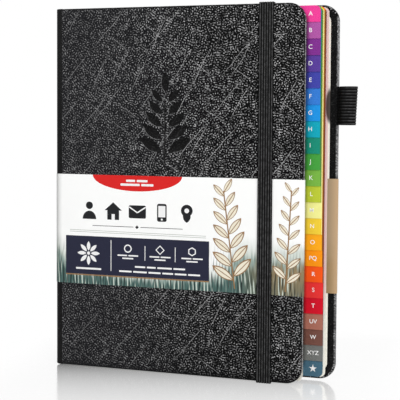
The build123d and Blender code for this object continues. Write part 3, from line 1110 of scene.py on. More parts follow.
class FlatArt:
    """Thin shapes drawn in a plane, X to the right and Y up, and stood on the front cover."""

    def __init__(self, thickness: float) -> None:
        """Starts with nothing drawn; each shape will be as thick as this."""
        self.shape = bmesh.new()
        self.thickness = thickness

    def take(self, part: BMesh, at: Point, ink: int = 0, turn: float = 0.0, lift: float = 0.0) -> None:
        """Thickens a flat part, turns it and puts it in its place.

        Args:
            part: the flat part, drawn about the origin; it is freed.
            at: where its origin goes.
            ink: the index of its material.
            turn: how far it is turned to the left, in degrees.
            lift: how far it stands above the sheet.
        """
        thicken(part, (0.0, 0.0, self.thickness))
        move(part, laid(at, lift, turn))
        for face in part.faces:
            face.material_index = ink
        absorb(self.shape, part)

    def over(self, part: BMesh, at: Point, turn: float = 0.0) -> None:
        """Puts a flat part in the second ink on top of the first."""
        self.take(part, at, 1, turn, self.thickness)

    def bars(self, spans: Sequence[Point], height: float, size: float) -> None:
        """Draws a row of plain bars in the second ink.

        Args:
            spans: each bar's start and end, in millimetres.
            height: the row's height, in millimetres.
            size: the bars' height, in millimetres.
        """
        for start, end in spans:
            bar = FlatArt.plate((end - start) * MM, size * MM, 0.25 * size * MM)
            self.over(bar, ((start + end) / 2 * MM, height * MM))

    @staticmethod
    def plate(width: float, height: float, corner: float = 0.0) -> BMesh:
        """A rectangle, with round corners if they have a radius."""
        x, y = width / 2, height / 2
        part = flat_face([(-x, -y, 0), (x, -y, 0), (x, y, 0), (-x, y, 0)])
        if corner:
            round_corners(part, part.verts[:], corner, 5)
        return part

    @staticmethod
    def disc(radius: float, sides: int = 32) -> BMesh:
        """A disc, or a regular figure with few sides."""
        part = bmesh.new()
        bmesh.ops.create_circle(part, cap_ends=True, radius=radius, segments=sides)
        return part

    @staticmethod
    def ring(radius: float, stroke: float, sides: int = 32) -> BMesh:
        """A ring, or the outline of a regular figure."""
        part = FlatArt.disc(radius, sides)
        middle = part.faces[:]
        bmesh.ops.inset_individual(part, faces=middle, thickness=stroke)
        bmesh.ops.delete(part, geom=middle, context="FACES_ONLY")
        return part

    @staticmethod
    def dome(width: float, height: float, upward: bool) -> BMesh:
        """Half an ellipse on its straight edge, rising or hanging."""
        part = FlatArt.disc(1.0, 64)
        bmesh.ops.bisect_plane(
            part, geom=whole(part), plane_co=(0, 0, 0), plane_no=(0, 1, 0), clear_inner=upward,
            clear_outer=not upward,
        )
        bmesh.ops.scale(part, vec=(width / 2, height, 1.0), verts=part.verts[:])
        return part

    @staticmethod
    def half_leaf(length: float, width: float, gap: float, left: bool) -> BMesh:
        """Half a pointed leaf that rises from its base, beside its vein.

        Args:
            length, width: the whole leaf's size.
            gap: the vein's width.
            left: which half.

        Returns:
            The flat half.
        """
        bulge = width / 2
        radius = (bulge ** 2 + length ** 2 / 4) / (2 * bulge)
        part = FlatArt.disc(radius, 72)
        bmesh.ops.bisect_plane(
            part, geom=whole(part), plane_co=(radius - bulge, 0, 0), plane_no=(1, 0, 0), clear_inner=True
        )
        bmesh.ops.translate(part, vec=(bulge - radius + gap / 2, length / 2, 0), verts=part.verts[:])
        if left:
            bmesh.ops.scale(part, vec=(-1, 1, 1), verts=part.verts[:])
            bmesh.ops.recalc_face_normals(part, faces=part.faces[:])
        return part

    @staticmethod
    def leaf(length: float, width: float) -> BMesh:
        """A whole pointed leaf that rises from its base."""
        part = FlatArt.half_leaf(length, width, 0.0, False)
        bmesh.ops.mirror(part, geom=whole(part), axis="X", merge_dist=WELD)
        bmesh.ops.recalc_face_normals(part, faces=part.faces[:])
        return part

    @staticmethod
    def star(radius: float) -> BMesh:
        """A star of five points, one of them up."""
        part = FlatArt.disc(radius, 10)
        inner = [vert for place, vert in enumerate(part.verts) if place % 2]
        bmesh.ops.scale(part, vec=(0.39, 0.39, 1.0), verts=inner)
        top = max(part.verts, key=lambda vert: vert.co.length_squared)
        turn = math.pi / 2 - math.atan2(top.co.y, top.co.x)
        bmesh.ops.rotate(part, cent=(0, 0, 0), matrix=Matrix.Rotation(turn, 3, "Z"), verts=part.verts[:])
        return part

    @staticmethod
    def letters(body: str, size: float, bolder: float) -> BMesh:
        """Flat letters, centred on the origin.

        Args:
            body: the letters.
            size: their size.
            bolder: how far their outlines are pushed out.

        Returns:
            The flat letters.
        """
        curve = bpy.data.curves.new("letters", "FONT")
        curve.body, curve.size, curve.offset, curve.resolution_u = body, size, bolder, 6
        curve.align_x, curve.align_y = "CENTER", "CENTER"
        holder = bpy.data.objects.new("letters", curve)
        mesh = bpy.data.meshes.new_from_object(holder)
        part = bmesh.new()
        part.from_mesh(mesh)
        bpy.data.objects.remove(holder)
        bpy.data.curves.remove(curve)
        bpy.data.meshes.remove(mesh)
        bmesh.ops.remove_doubles(part, verts=part.verts[:], dist=WELD)
        return part

    def stand(self, origin: Sequence[float]) -> BMesh:
        """Stands the drawing up to face the reader, with its zero at an origin, and returns its mesh."""
        move(self.shape, upright(origin))
        return self.shape


@dataclass
class Case:
    """The leatherette case: two covers, the spine and the bends between them."""

    lines: CaseLines
    leather: Material
    smooth: Material
    corner_radius: float = 9.7 * MM
    cover_thickness: float = 2.45 * MM
    spine_thickness: float = 2.15 * MM
    bend_skin: float = 0.8 * MM
    bend_soft: float = 0.38 * MM
    flat_beside_bend: float = 1.4 * MM
    edge_round: float = 0.95 * MM
    crease_width: float = 0.9 * MM
    front_inner_round: float = 0.35 * MM
    back_inner_round: float = 1.4 * MM
    # These values set the edges' wear and painted highlight: it lies on bevel faces that turn towards +X, the
    # key lamp's side; the others take the smooth leatherette, and the highlight is weaker on the back rim's
    # front-facing faces, on the crease and low on the back cover.
    wear_light_below: float = 0.8
    wear_light_turn: Point = (0.93, 0.99)
    wear_light_flat: float = 0.4
    wear_light_middle: float = 0.8
    wear_light_low: float = 0.5
    wear_light_crease: float = 0.8
    sprig_middle: Point = (68.5 * MM, 147 * MM)
    sprig_reach: float = 33 * MM
    press_depth: float = 0.35 * MM
    press_draft: float = 0.9
    press_shine: float = 0.5
    press_light: tuple[float, float, float] = (0.6, 0.0, 0.8)
    press_lit: float = 0.25
    press_wall: float = 0.8
    play: float = 0.1 * MM
    slit_depth: float = 0.8 * MM
    slit_half: float = 0.5 * MM
    slit_inset: float = 0.4 * MM
    slot_depths: Point = (0.95 * MM, 2.25 * MM)
    slot_length: float = 3 * MM

    @property
    def inset(self) -> float:
        """How far the flat slabs stay away from the spine's corners."""
        return self.lines.spine_radius + self.flat_beside_bend

    @property
    def sprig_place(self) -> Point:
        """The middle of the pressed sprig, across and up in the shared frame."""
        return self.lines.spine + self.sprig_middle[0], self.lines.tail + self.sprig_middle[1]

    def panel(self, side: Side) -> BMesh:
        """A cover's slab with round fore-edge corners and, as yet, sharp edges."""
        lines = self.lines
        start = lines.spine + self.inset
        slab = upright_face((start, lines.fore(side)), lines.face(side), (lines.tail, lines.head))
        corners = [vert for vert in slab.verts if vert.co.x > start + WELD]
        round_corners(slab, corners, self.corner_radius, 14)
        thicken(slab, (0.0, side.value * self.cover_thickness, 0.0))
        return slab

    def rim(self, slab: BMesh, level: float) -> list[BMEdge]:
        """A slab's free edges on one of its faces, without those at the joint or round the pressed sprig.

        Args:
            slab: the slab.
            level: the face's Y.

        Returns:
            The edges.
        """
        joint, least_wall = self.lines.spine + self.inset + WELD, 0.4 * self.cover_thickness
        free = []
        for edge in slab.edges:
            on_level = all(abs(vert.co.y - level) < WELD for vert in edge.verts)
            if not on_level or all(vert.co.x < joint for vert in edge.verts):
                continue
            walls = [face for face in edge.link_faces if abs(face.normal.y) < 0.5]
            if any(abs(vert.co.y - level) > least_wall for face in walls for vert in face.verts):
                free.append(edge)
        return free

    def soften(self, slab: BMesh, side: Side) -> None:
        """Rounds a slab's free edges and marks wear and a painted highlight on the bevel faces that turn
        towards +X and on the crease; the other bevel faces and the turned-in side take the smooth
        leatherette, a painted shade on the turned-in side.
        """
        rubbed = slab.faces.layers.float.new("rubbed")
        joint = self.lines.spine + self.inset + WELD
        outer = self.lines.face(side)
        inner = outer + side.value * self.cover_thickness
        inner_round = self.front_inner_round if side is Side.FRONT else self.back_inner_round
        for level, radius, steps in ((outer, self.edge_round, 5), (inner, inner_round, 4)):
            made = soften_edges(slab, self.rim(slab, level), radius, steps)
            slab.normal_update()
            for face in made:
                facing, sideways = abs(face.normal.y), math.hypot(face.normal.x, face.normal.z)
                if radius == self.back_inner_round or facing < self.wear_light_below:
                    first, last = self.wear_light_turn
                    face[rubbed] = min(1.0, max(0.0, (face.normal.x / sideways - first) / (last - first)))
                    face[rubbed] *= self.wear_light_flat if facing > 0.9 else 1.0
                else:
                    face.material_index = 1
        # The crease beside the joint: its slope takes wear and a painted highlight.
        crease = [
            edge for edge in slab.edges
            if all(vert.co.x < joint and abs(vert.co.y - outer) < WELD for vert in edge.verts)
        ]
        for face in soften_edges(slab, crease, self.crease_width, 2):
            face[rubbed] = self.wear_light_crease
        for face in slab.faces:
            if all(abs(vert.co.y - inner) < WELD for vert in face.verts):
                face.material_index = 1

    def sprig_cutter(self) -> BMesh:
        """The die that presses the sprig: a stem and pairs of pointed leaves."""
        leaves = [(13.5 * MM, (0.0, 15.5 * MM), 0.0)]
        for step in range(5):
            length, height = (17.5 - 1.6 * step) * MM, (-18.5 + 7.2 * step) * MM
            leaves += [(length, (way * 1.3 * MM, height), -way * (58 - 4 * step)) for way in (1, -1)]
        parts = [(FlatArt.plate(1.1 * MM, 39 * MM, 0.4 * MM), (0.0, -6.5 * MM), 0.0)]
        parts += [(FlatArt.leaf(length, 0.40 * length), at, turn) for length, at, turn in leaves]
        cutter = bmesh.new()
        narrowed = (self.press_draft ** 2, self.press_draft ** 2, 1.0)
        for part, at, turn in parts:
            middle = sum((vert.co for vert in part.verts), Vector()) / len(part.verts)
            made = bmesh.ops.extrude_face_region(part, geom=part.faces[:])["geom"]
            floor = [g for g in made if isinstance(g, BMVert)]
            bmesh.ops.translate(part, verts=floor, vec=(0, 0, -2 * self.press_depth))
            bmesh.ops.scale(part, vec=narrowed, verts=floor, space=Matrix.Translation(-middle))
            move(part, laid(at, self.press_depth, turn))
            absorb(cutter, part)
        across, up = self.sprig_place
        move(cutter, upright((across, self.lines.front, up)))
        return cutter

    def front_cover(self) -> Object:
        """The front cover, with the sprig pressed into its face and a painted highlight on the pressed walls
        that face press_light.
        """
        slab = carve(self.panel(Side.FRONT), self.sprig_cutter())
        for face in slab.faces:
            depth = face.calc_center_median().y - self.lines.front
            if WELD < depth < self.press_depth + WELD:
                face.material_index = 1
        self.soften(slab, Side.FRONT)
        rubbed = slab.faces.layers.float["rubbed"]
        across, up = self.sprig_place
        # A painted highlight: the pressed walls that face press_light take the edges' pale tone.
        light = Vector(self.press_light)
        for face in slab.faces:
            place = face.calc_center_median()
            near = abs(place.x - across) < self.sprig_reach and abs(place.z - up) < self.sprig_reach
            if near and abs(face.normal.y) < self.press_wall and face.normal.dot(light) > self.press_lit:
                face[rubbed] = self.press_shine
        piece = finish_piece("front_cover_leather", slab, (self.leather, self.smooth))
        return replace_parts(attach(piece, "front_cover"), "front_cover_wrap", "front_board")

    def back_cover(self) -> Object:
        """The back cover, with the strap's two slits and the pen loop's slot, and a painted shade on its rim
        at the loop's height.
        """
        lines, play = self.lines, self.play
        slab = self.panel(Side.BACK)
        strap_low, strap_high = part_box("strap_ends")
        loop_low, loop_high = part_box("pen_loop")
        loop_foot, loop_top = loop_low[2] - play, loop_high[2] + play
        under_band = (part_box("band_back")[0][2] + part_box("band_back")[1][2]) / 2
        for level in (under_band, loop_foot, loop_top):
            bmesh.ops.bisect_plane(slab, geom=whole(slab), plane_co=(0, 0, level), plane_no=(0, 0, 1))
        self.soften(slab, Side.BACK)
        rubbed = slab.faces.layers.float["rubbed"]
        # At the pen loop's height the rim loses its highlight and takes the smooth leatherette, a painted
        # shade; below the loop the highlight is weaker, and weaker still below the band's middle.
        for face in slab.faces:
            height = face.calc_center_median().z
            if face[rubbed] and loop_foot < height < loop_top:
                face[rubbed], face.material_index = 0.0, 1
            elif height < loop_low[2]:
                face[rubbed] *= self.wear_light_low if height < under_band else self.wear_light_middle
        for middle in (strap_low[2] + self.slit_inset, strap_high[2] - self.slit_inset):
            slit = box_mesh(
                (strap_low[0] - play, lines.back - self.slit_depth, middle - self.slit_half),
                (strap_high[0] + play, lines.back + play, middle + self.slit_half),
            )
            slab = carve(slab, slit)
        outer, inner = self.slot_depths
        slot = box_mesh(
            (lines.back_fore - self.slot_length, lines.back - inner, loop_foot),
            (lines.back_fore + play, lines.back - outer, loop_top),
        )
        slab = carve(slab, slot)
        piece = finish_piece("back_cover_leather", slab, (self.leather, self.smooth))
        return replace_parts(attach(piece, "back_cover"), "back_cover_wrap", "back_board")

    def spine(self) -> Object:
        """The spine's flat slab between the two bends."""
        lines = self.lines
        slab = box_mesh(
            (lines.spine, lines.front + self.inset, lines.tail),
            (lines.spine + self.spine_thickness, lines.back - self.inset, lines.head),
        )
        rubbed = slab.faces.layers.float.new("rubbed")
        ends = [
            edge for edge in slab.edges
            if all(vert.co.x < lines.spine + WELD for vert in edge.verts)
            and abs(edge.verts[0].co.z - edge.verts[1].co.z) < WELD
        ]
        for face in soften_edges(slab, ends, self.edge_round, 4):
            face[rubbed] = 1.0
        piece = finish_piece("spine_leather", slab, (self.leather,))
        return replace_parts(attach(piece, "spine"), "spine_wrap", "spine_board")

    def bend(self, side: Side) -> Object:
        """The leather's bend from the spine to a cover."""
        lines, way, flat = self.lines, side.value, self.flat_beside_bend
        face, radius = lines.face(side), lines.spine_radius
        skin = (lines.spine, lines.spine + self.bend_skin)
        section = upright_face(skin, face + way * self.inset, (lines.tail, lines.head))
        outer = [vert for vert in section.verts if vert.co.x < lines.spine + WELD]
        round_corners(section, outer, self.bend_soft, 4)
        sweep = Sweep(section).run((0, -way * flat, 0))
        sweep.bend((lines.spine + radius, face + way * radius, 0), (0, 0, 1), way * 90, 12)
        sweep.run((flat, 0, 0))
        name = f"{side.name.lower()}_bend_leather"
        # The bend takes the darker smooth leatherette, a painted shade on the rounded corner.
        piece = finish_piece(name, sweep.close(), (self.smooth,))
        return lines.bend_piece(piece, side)

    def build(self) -> Iterator[Object]:
        """Builds the case's pieces in order."""
        yield self.front_cover()
        yield self.back_cover()
        yield self.spine()
        yield self.bend(Side.FRONT)
        yield self.bend(Side.BACK)


@dataclass
class IndexBlock:
    """The index sections, leaf by leaf, with their lettered tabs."""

    ink: Material
    leaves_per_section: int = 4
    leaf_share: float = 0.86
    trim_play: float = 0.06 * MM
    corner_radius: float = 3 * MM
    strip_lap: float = 6.5 * MM
    strip_drop: float = 0.05 * MM
    page_margin: float = 12 * MM
    mark_inset: float = 5.55 * MM
    mark_size: float = 3.35 * MM
    mark_bolder: float = 0.03 * MM
    mark_thickness: float = 0.03 * MM
    star_radius: float = 2.3 * MM
    # How far the cover's edge, as the camera sees it, moves to the left per unit of depth; it places the
    # painted shadow on each tab.
    cover_slant: float = 0.13

    def outline(self, low: Vector, high: Vector, step: float, foot: float, depth: float) -> BMesh:
        """One leaf's flat outline.

        Args:
            low, high: the corners of the section's box; high's X is this leaf's own fore edge.
            step: the X of the edge below the tab.
            foot: the Z of the tab's foot.
            depth: the Y of the leaf's face.

        Returns:
            The flat leaf.
        """
        corners = [(low.x, low.z), (high.x, low.z), (high.x, high.z), (low.x, high.z)]
        if foot > low.z + WELD:
            corners[1:2] = [(step, low.z), (step, foot), (high.x, foot)]
        leaf = flat_face([(x, depth, z) for x, z in corners])
        ends = (low.z, high.z)
        rounded = [
            vert for vert in leaf.verts
            if abs(vert.co.x - high.x) < WELD and min(abs(vert.co.z - end) for end in ends) < WELD
        ]
        round_corners(leaf, rounded, self.corner_radius, 8)
        return leaf

    def mark(self, tab: Tab, fore: float, middle: float, depth: float) -> BMesh:
        """A tab's letters or star, on its face."""
        art = FlatArt(self.mark_thickness)
        if tab.mark:
            part = FlatArt.letters(tab.mark, self.mark_size, self.mark_bolder)
        else:
            part = FlatArt.star(self.star_radius)
        art.take(part, (0.0, 0.0), ink=1, lift=-self.mark_thickness / 2)
        return art.stand((fore - self.mark_inset, depth, middle))

    def section(self, tab: Tab, number: int, dice: random.Random) -> Object:
        """One section's leaves and mark.

        Args:
            tab: the section's tab.
            number: its place from the head.
            dice: where the small differences in trim come from.

        Returns:
            The piece.
        """
        low, high = (Vector(corner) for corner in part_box(tab.node))
        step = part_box("front_flyleaf")[1][0]
        cover_low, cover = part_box("front_cover_wrap")
        tab_height = (high.z - low.z) / len(Tab)
        foot = high.z - (number + 1) * tab_height
        pitch = (high.y - low.y) / self.leaves_per_section
        shape = bmesh.new()
        for place in range(self.leaves_per_section):
            trim = dice.uniform(0.0, self.trim_play) if place else 0.0
            corner = Vector((high.x - trim, high.y, high.z - dice.uniform(0.0, self.trim_play)))
            leaf = self.outline(low, corner, step, foot, low.y + place * pitch)
            thicken(leaf, (0.0, pitch * self.leaf_share, 0.0))
            absorb(shape, leaf)
        shape.normal_update()
        edge, first_face = (shape.faces.layers.float.new(name) for name in ("edge", "first_face"))
        for face in shape.faces:
            face[edge] = float(abs(face.normal.x) > 0.5)
            face[first_face] = float(all(abs(vert.co.y - low.y) < WELD for vert in face.verts))
        absorb(shape, self.mark(tab, high.x, foot + tab_height / 2, low.y))
        name = tab.name.lower()
        paper = IndexPaper(
            f"index_paper_{name}", 0.5, 0.15, tab, strip_start=step - self.strip_lap,
            strip_foot=foot - self.strip_drop, rule_start=low.x + self.page_margin, fore=high.x,
            tab_head=foot + tab_height, cover_line=cover[0] - self.cover_slant * (low.y - cover[1]),
            cover_ends=(cover_low[2], cover[2]),
        ).material()
        piece = finish_piece(f"index_{name}", shape, (paper, self.ink), 30.0)
        bodies = frame["record"]["behaviour"]["bodies"]
        body = next(name for name, part in bodies.items() if tab.node in part)
        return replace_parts(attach(piece, body), tab.node)

    def build(self) -> Iterator[Object]:
        """Builds the sections from the head down."""
        dice = random.Random(23)
        for number, tab in enumerate(Tab):
            yield self.section(tab, number, dice)


@dataclass
class BellyBand:
    """The printed paper band: a run on each cover with half of the spine, folded round the fore edges."""

    lines: CaseLines
    paper: Material
    inner_gap: float = 0.05 * MM
    thickness: float = 0.2 * MM
    cover_thickness: float = 2.5 * MM
    outer_fold: float = 0.7 * MM
    inner_fold: float = 0.4 * MM
    flap: float = 60 * MM

    def half(self, side: Side) -> Object:
        """One cover's run of the band, from the middle of the spine to the end of its flap."""
        lines, way, name = self.lines, side.value, side.name.lower()
        face, fore, radius = lines.face(side), lines.fore(side), lines.spine_radius
        low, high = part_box(f"band_{name}")
        inside = lines.spine - self.inner_gap
        middle = (lines.front + lines.back) / 2
        section = upright_face((inside - self.thickness, inside), middle, (low[2], high[2]))
        corner = face + way * radius
        fold_x, last_fold = fore - self.outer_fold, self.cover_thickness - self.inner_fold
        sweep = Sweep(section).run((0, corner - middle, 0), 3)
        sweep.bend((lines.spine + radius, corner, 0), (0, 0, 1), way * 90, 12)
        sweep.run((fold_x - lines.spine - radius, 0, 0), 12)
        sweep.bend((fold_x, face + way * self.outer_fold, 0), (0, 0, 1), way * 90, 5)
        sweep.run((0, way * (last_fold - self.outer_fold), 0))
        sweep.bend((fore - self.inner_fold, face + way * last_fold, 0), (0, 0, 1), way * 90, 4)
        sweep.run((-self.flap + self.inner_fold, 0, 0), 6)
        piece = finish_piece(f"band_{name}_paper", sweep.close(), (self.paper,))
        lines.bend_piece(piece, side)
        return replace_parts(piece, f"band_{name}", "band_spine")

    def build(self) -> Iterator[Object]:
        """Builds both runs."""
        yield self.half(Side.FRONT)
        yield self.half(Side.BACK)


class Ink(Enum):
    """The inks of the band's print."""

    RED = ((214, 34, 32), 0.12)
    NAVY = ((34, 36, 56), 0.3)
    WHITE = ((240, 240, 240), 0.06)
    BLACK = ((26, 27, 30), 0.35)
    GREY = ((176, 182, 174), 0.2)
    TAN = ((146, 112, 76), 0.5)
    CREAM = ((236, 228, 208), 0.12)

    def material(self) -> Material:
        """Makes the ink's material."""
        colour, unevenness = self.value
        return PrintInk(f"ink_{self.name.lower()}", 0.5, 0.15, screen_colour(*colour), unevenness).material()


@dataclass
class BandPrint:
    """What is printed on the band's front: badge, contact signs, panel and leaf sprays."""

    lines: CaseLines
    sheet_gap: float = 0.25 * MM
    ink_thickness: float = 0.012 * MM

    def piece(self, name: str, art: FlatArt, inks: Sequence[Material]) -> Object:
        """Stands a drawing on the band, its zero at the foot of the spine side, to ride on the cover."""
        origin = (self.lines.spine, self.lines.front - self.sheet_gap, self.lines.tail)
        made = finish_piece(f"print_{name}", art.stand(origin), inks)
        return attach(made, "front_cover")

    def badge(self, inks: dict[Ink, Material]) -> Object:
        """The red half ellipse that hangs from the band's upper edge."""
        art = FlatArt(self.ink_thickness)
        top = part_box("band_front")[1][2] - self.lines.tail
        art.take(FlatArt.dome(55 * MM, 9.2 * MM, False), (51.6 * MM, top))
        art.bars(((45.0, 50.6), (51.6, 58.2)), 111.9, 1.3)
        art.bars(((41.5, 53.4), (54.4, 61.8)), 109.6, 1.3)
        return self.piece("badge", art, (inks[Ink.RED], inks[Ink.WHITE]))

    def signs(self, inks: dict[Ink, Material]) -> Object:
        """A row of contact signs: person, house, envelope, telephone and map pin, over a thin rule."""
        art = FlatArt(self.ink_thickness)
        lift, row, rule = self.ink_thickness, 93.8 * MM, 84.8 * MM
        person, house, letter, phone, pin = ((22 + 15 * place) * MM for place in range(5))
        art.take(FlatArt.disc(2.2 * MM), (person, row + 2.9 * MM))
        art.take(FlatArt.dome(8.6 * MM, 4.9 * MM, True), (person, row - 5.2 * MM))
        art.take(FlatArt.plate(7.4 * MM, 5.6 * MM, 0.3 * MM), (house, row - 2.4 * MM))
        roof = flat_face([(-5.4 * MM, 0, 0), (5.4 * MM, 0, 0), (0, 4.8 * MM, 0)])
        art.take(roof, (house, row + 0.4 * MM))
        art.over(FlatArt.plate(2.0 * MM, 3.4 * MM), (house, row - 3.5 * MM))
        art.take(FlatArt.plate(10.6 * MM, 7.6 * MM, 0.9 * MM), (letter, row))
        for way in (1, -1):
            fold, at = FlatArt.plate(6.1 * MM, 0.75 * MM), (letter + way * 2.55 * MM, row + 1.2 * MM)
            art.take(fold, at, ink=1, turn=way * 33, lift=lift * (1.0 + 0.2 * way))
        art.take(FlatArt.plate(5.8 * MM, 10.4 * MM, 1.1 * MM), (phone, row))
        art.over(FlatArt.plate(4.3 * MM, 6.6 * MM, 0.2 * MM), (phone, row + 0.7 * MM))
        art.over(FlatArt.disc(0.6 * MM, 16), (phone, row - 3.9 * MM))
        art.take(FlatArt.leaf(7.4 * MM, 4.6 * MM), (pin, row - 5.2 * MM), lift=-0.2 * lift)
        art.take(FlatArt.disc(3.5 * MM), (pin, row + 1.7 * MM))
        art.over(FlatArt.disc(1.4 * MM, 20), (pin, row + 1.7 * MM))
        for start, end in ((24.0, 49.6), (54.0, 79.6)):
            art.take(FlatArt.plate((end - start) * MM, 0.35 * MM), ((start + end) / 2 * MM, rule))
        art.take(FlatArt.disc(1.1 * MM, 4), (51.8 * MM, rule))
        for height in (81.6, 80.6):
            art.take(FlatArt.plate(84 * MM, 0.3 * MM), (51.5 * MM, height * MM), ink=2, turn=-0.4)
        return self.piece("signs", art, (inks[Ink.BLACK], inks[Ink.WHITE], inks[Ink.GREY]))

    def panel(self, inks: dict[Ink, Material]) -> Object:
        """The dark panel: a rosette, three plain figures between thin rules, and rows of bars."""
        art = FlatArt(self.ink_thickness)
        art.take(FlatArt.plate(88.4 * MM, 22.8 * MM), (51.2 * MM, 67.0 * MM))
        art.take(FlatArt.plate(88.4 * MM, 0.7 * MM), (51.2 * MM, 55.2 * MM), ink=2)
        for x, low, high in ((35.7, 58.2, 76.6), (56.8, 65.4, 74.0), (75.2, 65.4, 74.0)):
            art.over(FlatArt.plate(0.4 * MM, (high - low) * MM), (x * MM, (low + high) / 2 * MM))
        middle = (21.5 * MM, 68.2 * MM)
        for turn in range(0, 360, 45):
            away = Matrix.Rotation(math.radians(turn), 2) @ Vector((0.0, 1.5 * MM))
            art.over(FlatArt.leaf(5.6 * MM, 2.2 * MM), (middle[0] + away.x, middle[1] + away.y), turn)
        art.over(FlatArt.disc(1.0 * MM, 16), middle)
        art.bars(((13.5, 29.5),), 59.0, 1.1)
        for x, radius, sides in ((46.2, 2.4, 32), (66.0, 2.8, 4), (85.3, 2.6, 6)):
            art.over(FlatArt.ring(radius * MM, 0.7 * MM, sides), (x * MM, 72.0 * MM))
            art.bars(((x - 6.4, x - 0.4), (x + 0.4, x + 6.4)), 67.9, 0.8)
            art.bars(((x - 3.4, x + 3.4),), 66.2, 0.8)
        art.bars(((50.6, 57.0), (58.0, 63.4), (64.4, 73.2), (74.2, 81.2)), 61.5, 1.0)
        last_row = ((40.8, 48.6), (49.6, 58.0), (59.0, 66.4), (67.4, 74.0), (75.0, 82.0), (83.0, 90.2))
        art.bars(last_row, 58.5, 1.0)
        return self.piece("panel", art, (inks[Ink.NAVY], inks[Ink.WHITE], inks[Ink.TAN]))

    def spray(self, art: FlatArt, foot: Point, lean: float, height: float, way: int, size: float) -> None:
        """Draws one spray: a leaning stem with pairs of outlined leaves.

        Args:
            art: the drawing.
            foot: the stem's foot, in millimetres.
            lean: how far it leans to the left, in degrees.
            height: the stem's length, in millimetres.
            way: the hand on which the leaves sit a little higher, 1 for the right and -1 for the left.
            size: the leaves' size.
        """
        pairs, raised, tilt = 7, 0.04, math.radians(lean)

        def on_stem(share: float) -> Point:
            """The point at a share of the stem's length."""
            x, y = foot[0] - math.sin(tilt) * height * share, foot[1] + math.cos(tilt) * height * share
            return x * MM, y * MM

        art.take(FlatArt.plate(0.7 * MM, height * MM), on_stem(0.5), turn=lean)
        for pair in range(pairs):
            share = (pair + 0.6) / pairs
            length = (15.5 - 6.5 * share) * MM * size
            for hand in (1, -1):
                x, y = on_stem(share + (raised if hand == way else 0.0))
                turn = lean - hand * (52 - 16 * share)
                art.take(FlatArt.leaf(length, 0.36 * length), (x, y), turn=turn, lift=art.thickness * 0.2)
                inset = Matrix.Rotation(math.radians(turn), 2) @ Vector((0.0, 0.075 * length))
                for left in (True, False):
                    inner = FlatArt.half_leaf(0.82 * length, 0.25 * length, 0.45 * MM, left)
                    art.over(inner, (x + inset.x, y + inset.y), turn)

    def sprays(self, inks: dict[Ink, Material]) -> Object:
        """Two tan sprays of outlined leaves, one each side of the strap."""
        art = FlatArt(self.ink_thickness)
        self.spray(art, (110.5, 52.0), lean=7.0, height=56.0, way=1, size=1.0)
        self.spray(art, (139.5, 52.0), lean=-3.0, height=57.0, way=-1, size=0.72)
        return self.piece("sprays", art, (inks[Ink.TAN], inks[Ink.CREAM]))

    def build(self) -> Iterator[Object]:
        """Builds the print's pieces."""
        inks = {ink: ink.material() for ink in Ink}
        yield self.badge(inks)
        yield self.signs(inks)
        yield self.panel(inks)
        yield self.sprays(inks)


@dataclass
class Strap:
    """The ribbed elastic strap, from one slit in the back cover round head and tail to the other."""

    elastic: Material
    thickness: float = 0.8 * MM
    ribs: int = 6
    rise: float = 0.16 * MM
    end_bend: float = 0.3 * MM
    edge_bend: float = 0.5 * MM
    stub: float = 1.5 * MM

    def build(self) -> Iterator[Object]:
        """Builds the strap and lets it draw back towards the back cover."""
        low, high = (Vector(corner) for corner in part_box("elastic_strap"))
        end_low, end_high = (Vector(corner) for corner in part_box("strap_ends"))
        thick, tight, wide = self.thickness, self.end_bend, self.edge_bend
        middle = (low.x + high.x) / 2
        inner_back, inner_front = high.y - thick, low.y + thick
        inner_tail, inner_head = low.z + thick, high.z - thick
        section = ribbed_section(high.x - low.x, thick, self.ribs, self.rise)
        move(section, upright((middle, inner_back - tight - self.stub, end_low.z)))
        centres = (
            (inner_back - tight, end_low.z - tight), (inner_back - wide, inner_tail + wide),
            (inner_front + wide, inner_tail + wide), (inner_front + wide, inner_head - wide),
            (inner_back - wide, inner_head - wide), (inner_back - tight, end_high.z + tight),
        )
        sweep = Sweep(section).run((0, self.stub, 0))
        sweep.bend((middle, *centres[0]), (1, 0, 0), -90, 5)
        for place, (run_steps, bend_steps) in enumerate(((3, 8), (18, 8), (8, 8), (18, 8), (3, 5))):
            (y, z), (next_y, next_z) = centres[place:place + 2]
            sweep.run((0, next_y - y, 0) if place % 2 else (0, 0, next_z - z), run_steps)
            sweep.bend((middle, next_y, next_z), (1, 0, 0), -90, bend_steps)
        sweep.run((0, -self.stub, 0))
        piece = finish_piece("strap_elastic", sweep.close(), (self.elastic,), 60.0)
        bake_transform(piece, "back_cover", "strap", (middle, inner_back, 0.0), (middle, inner_front, 0.0))
        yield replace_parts(piece, "elastic_strap", "strap_ends")


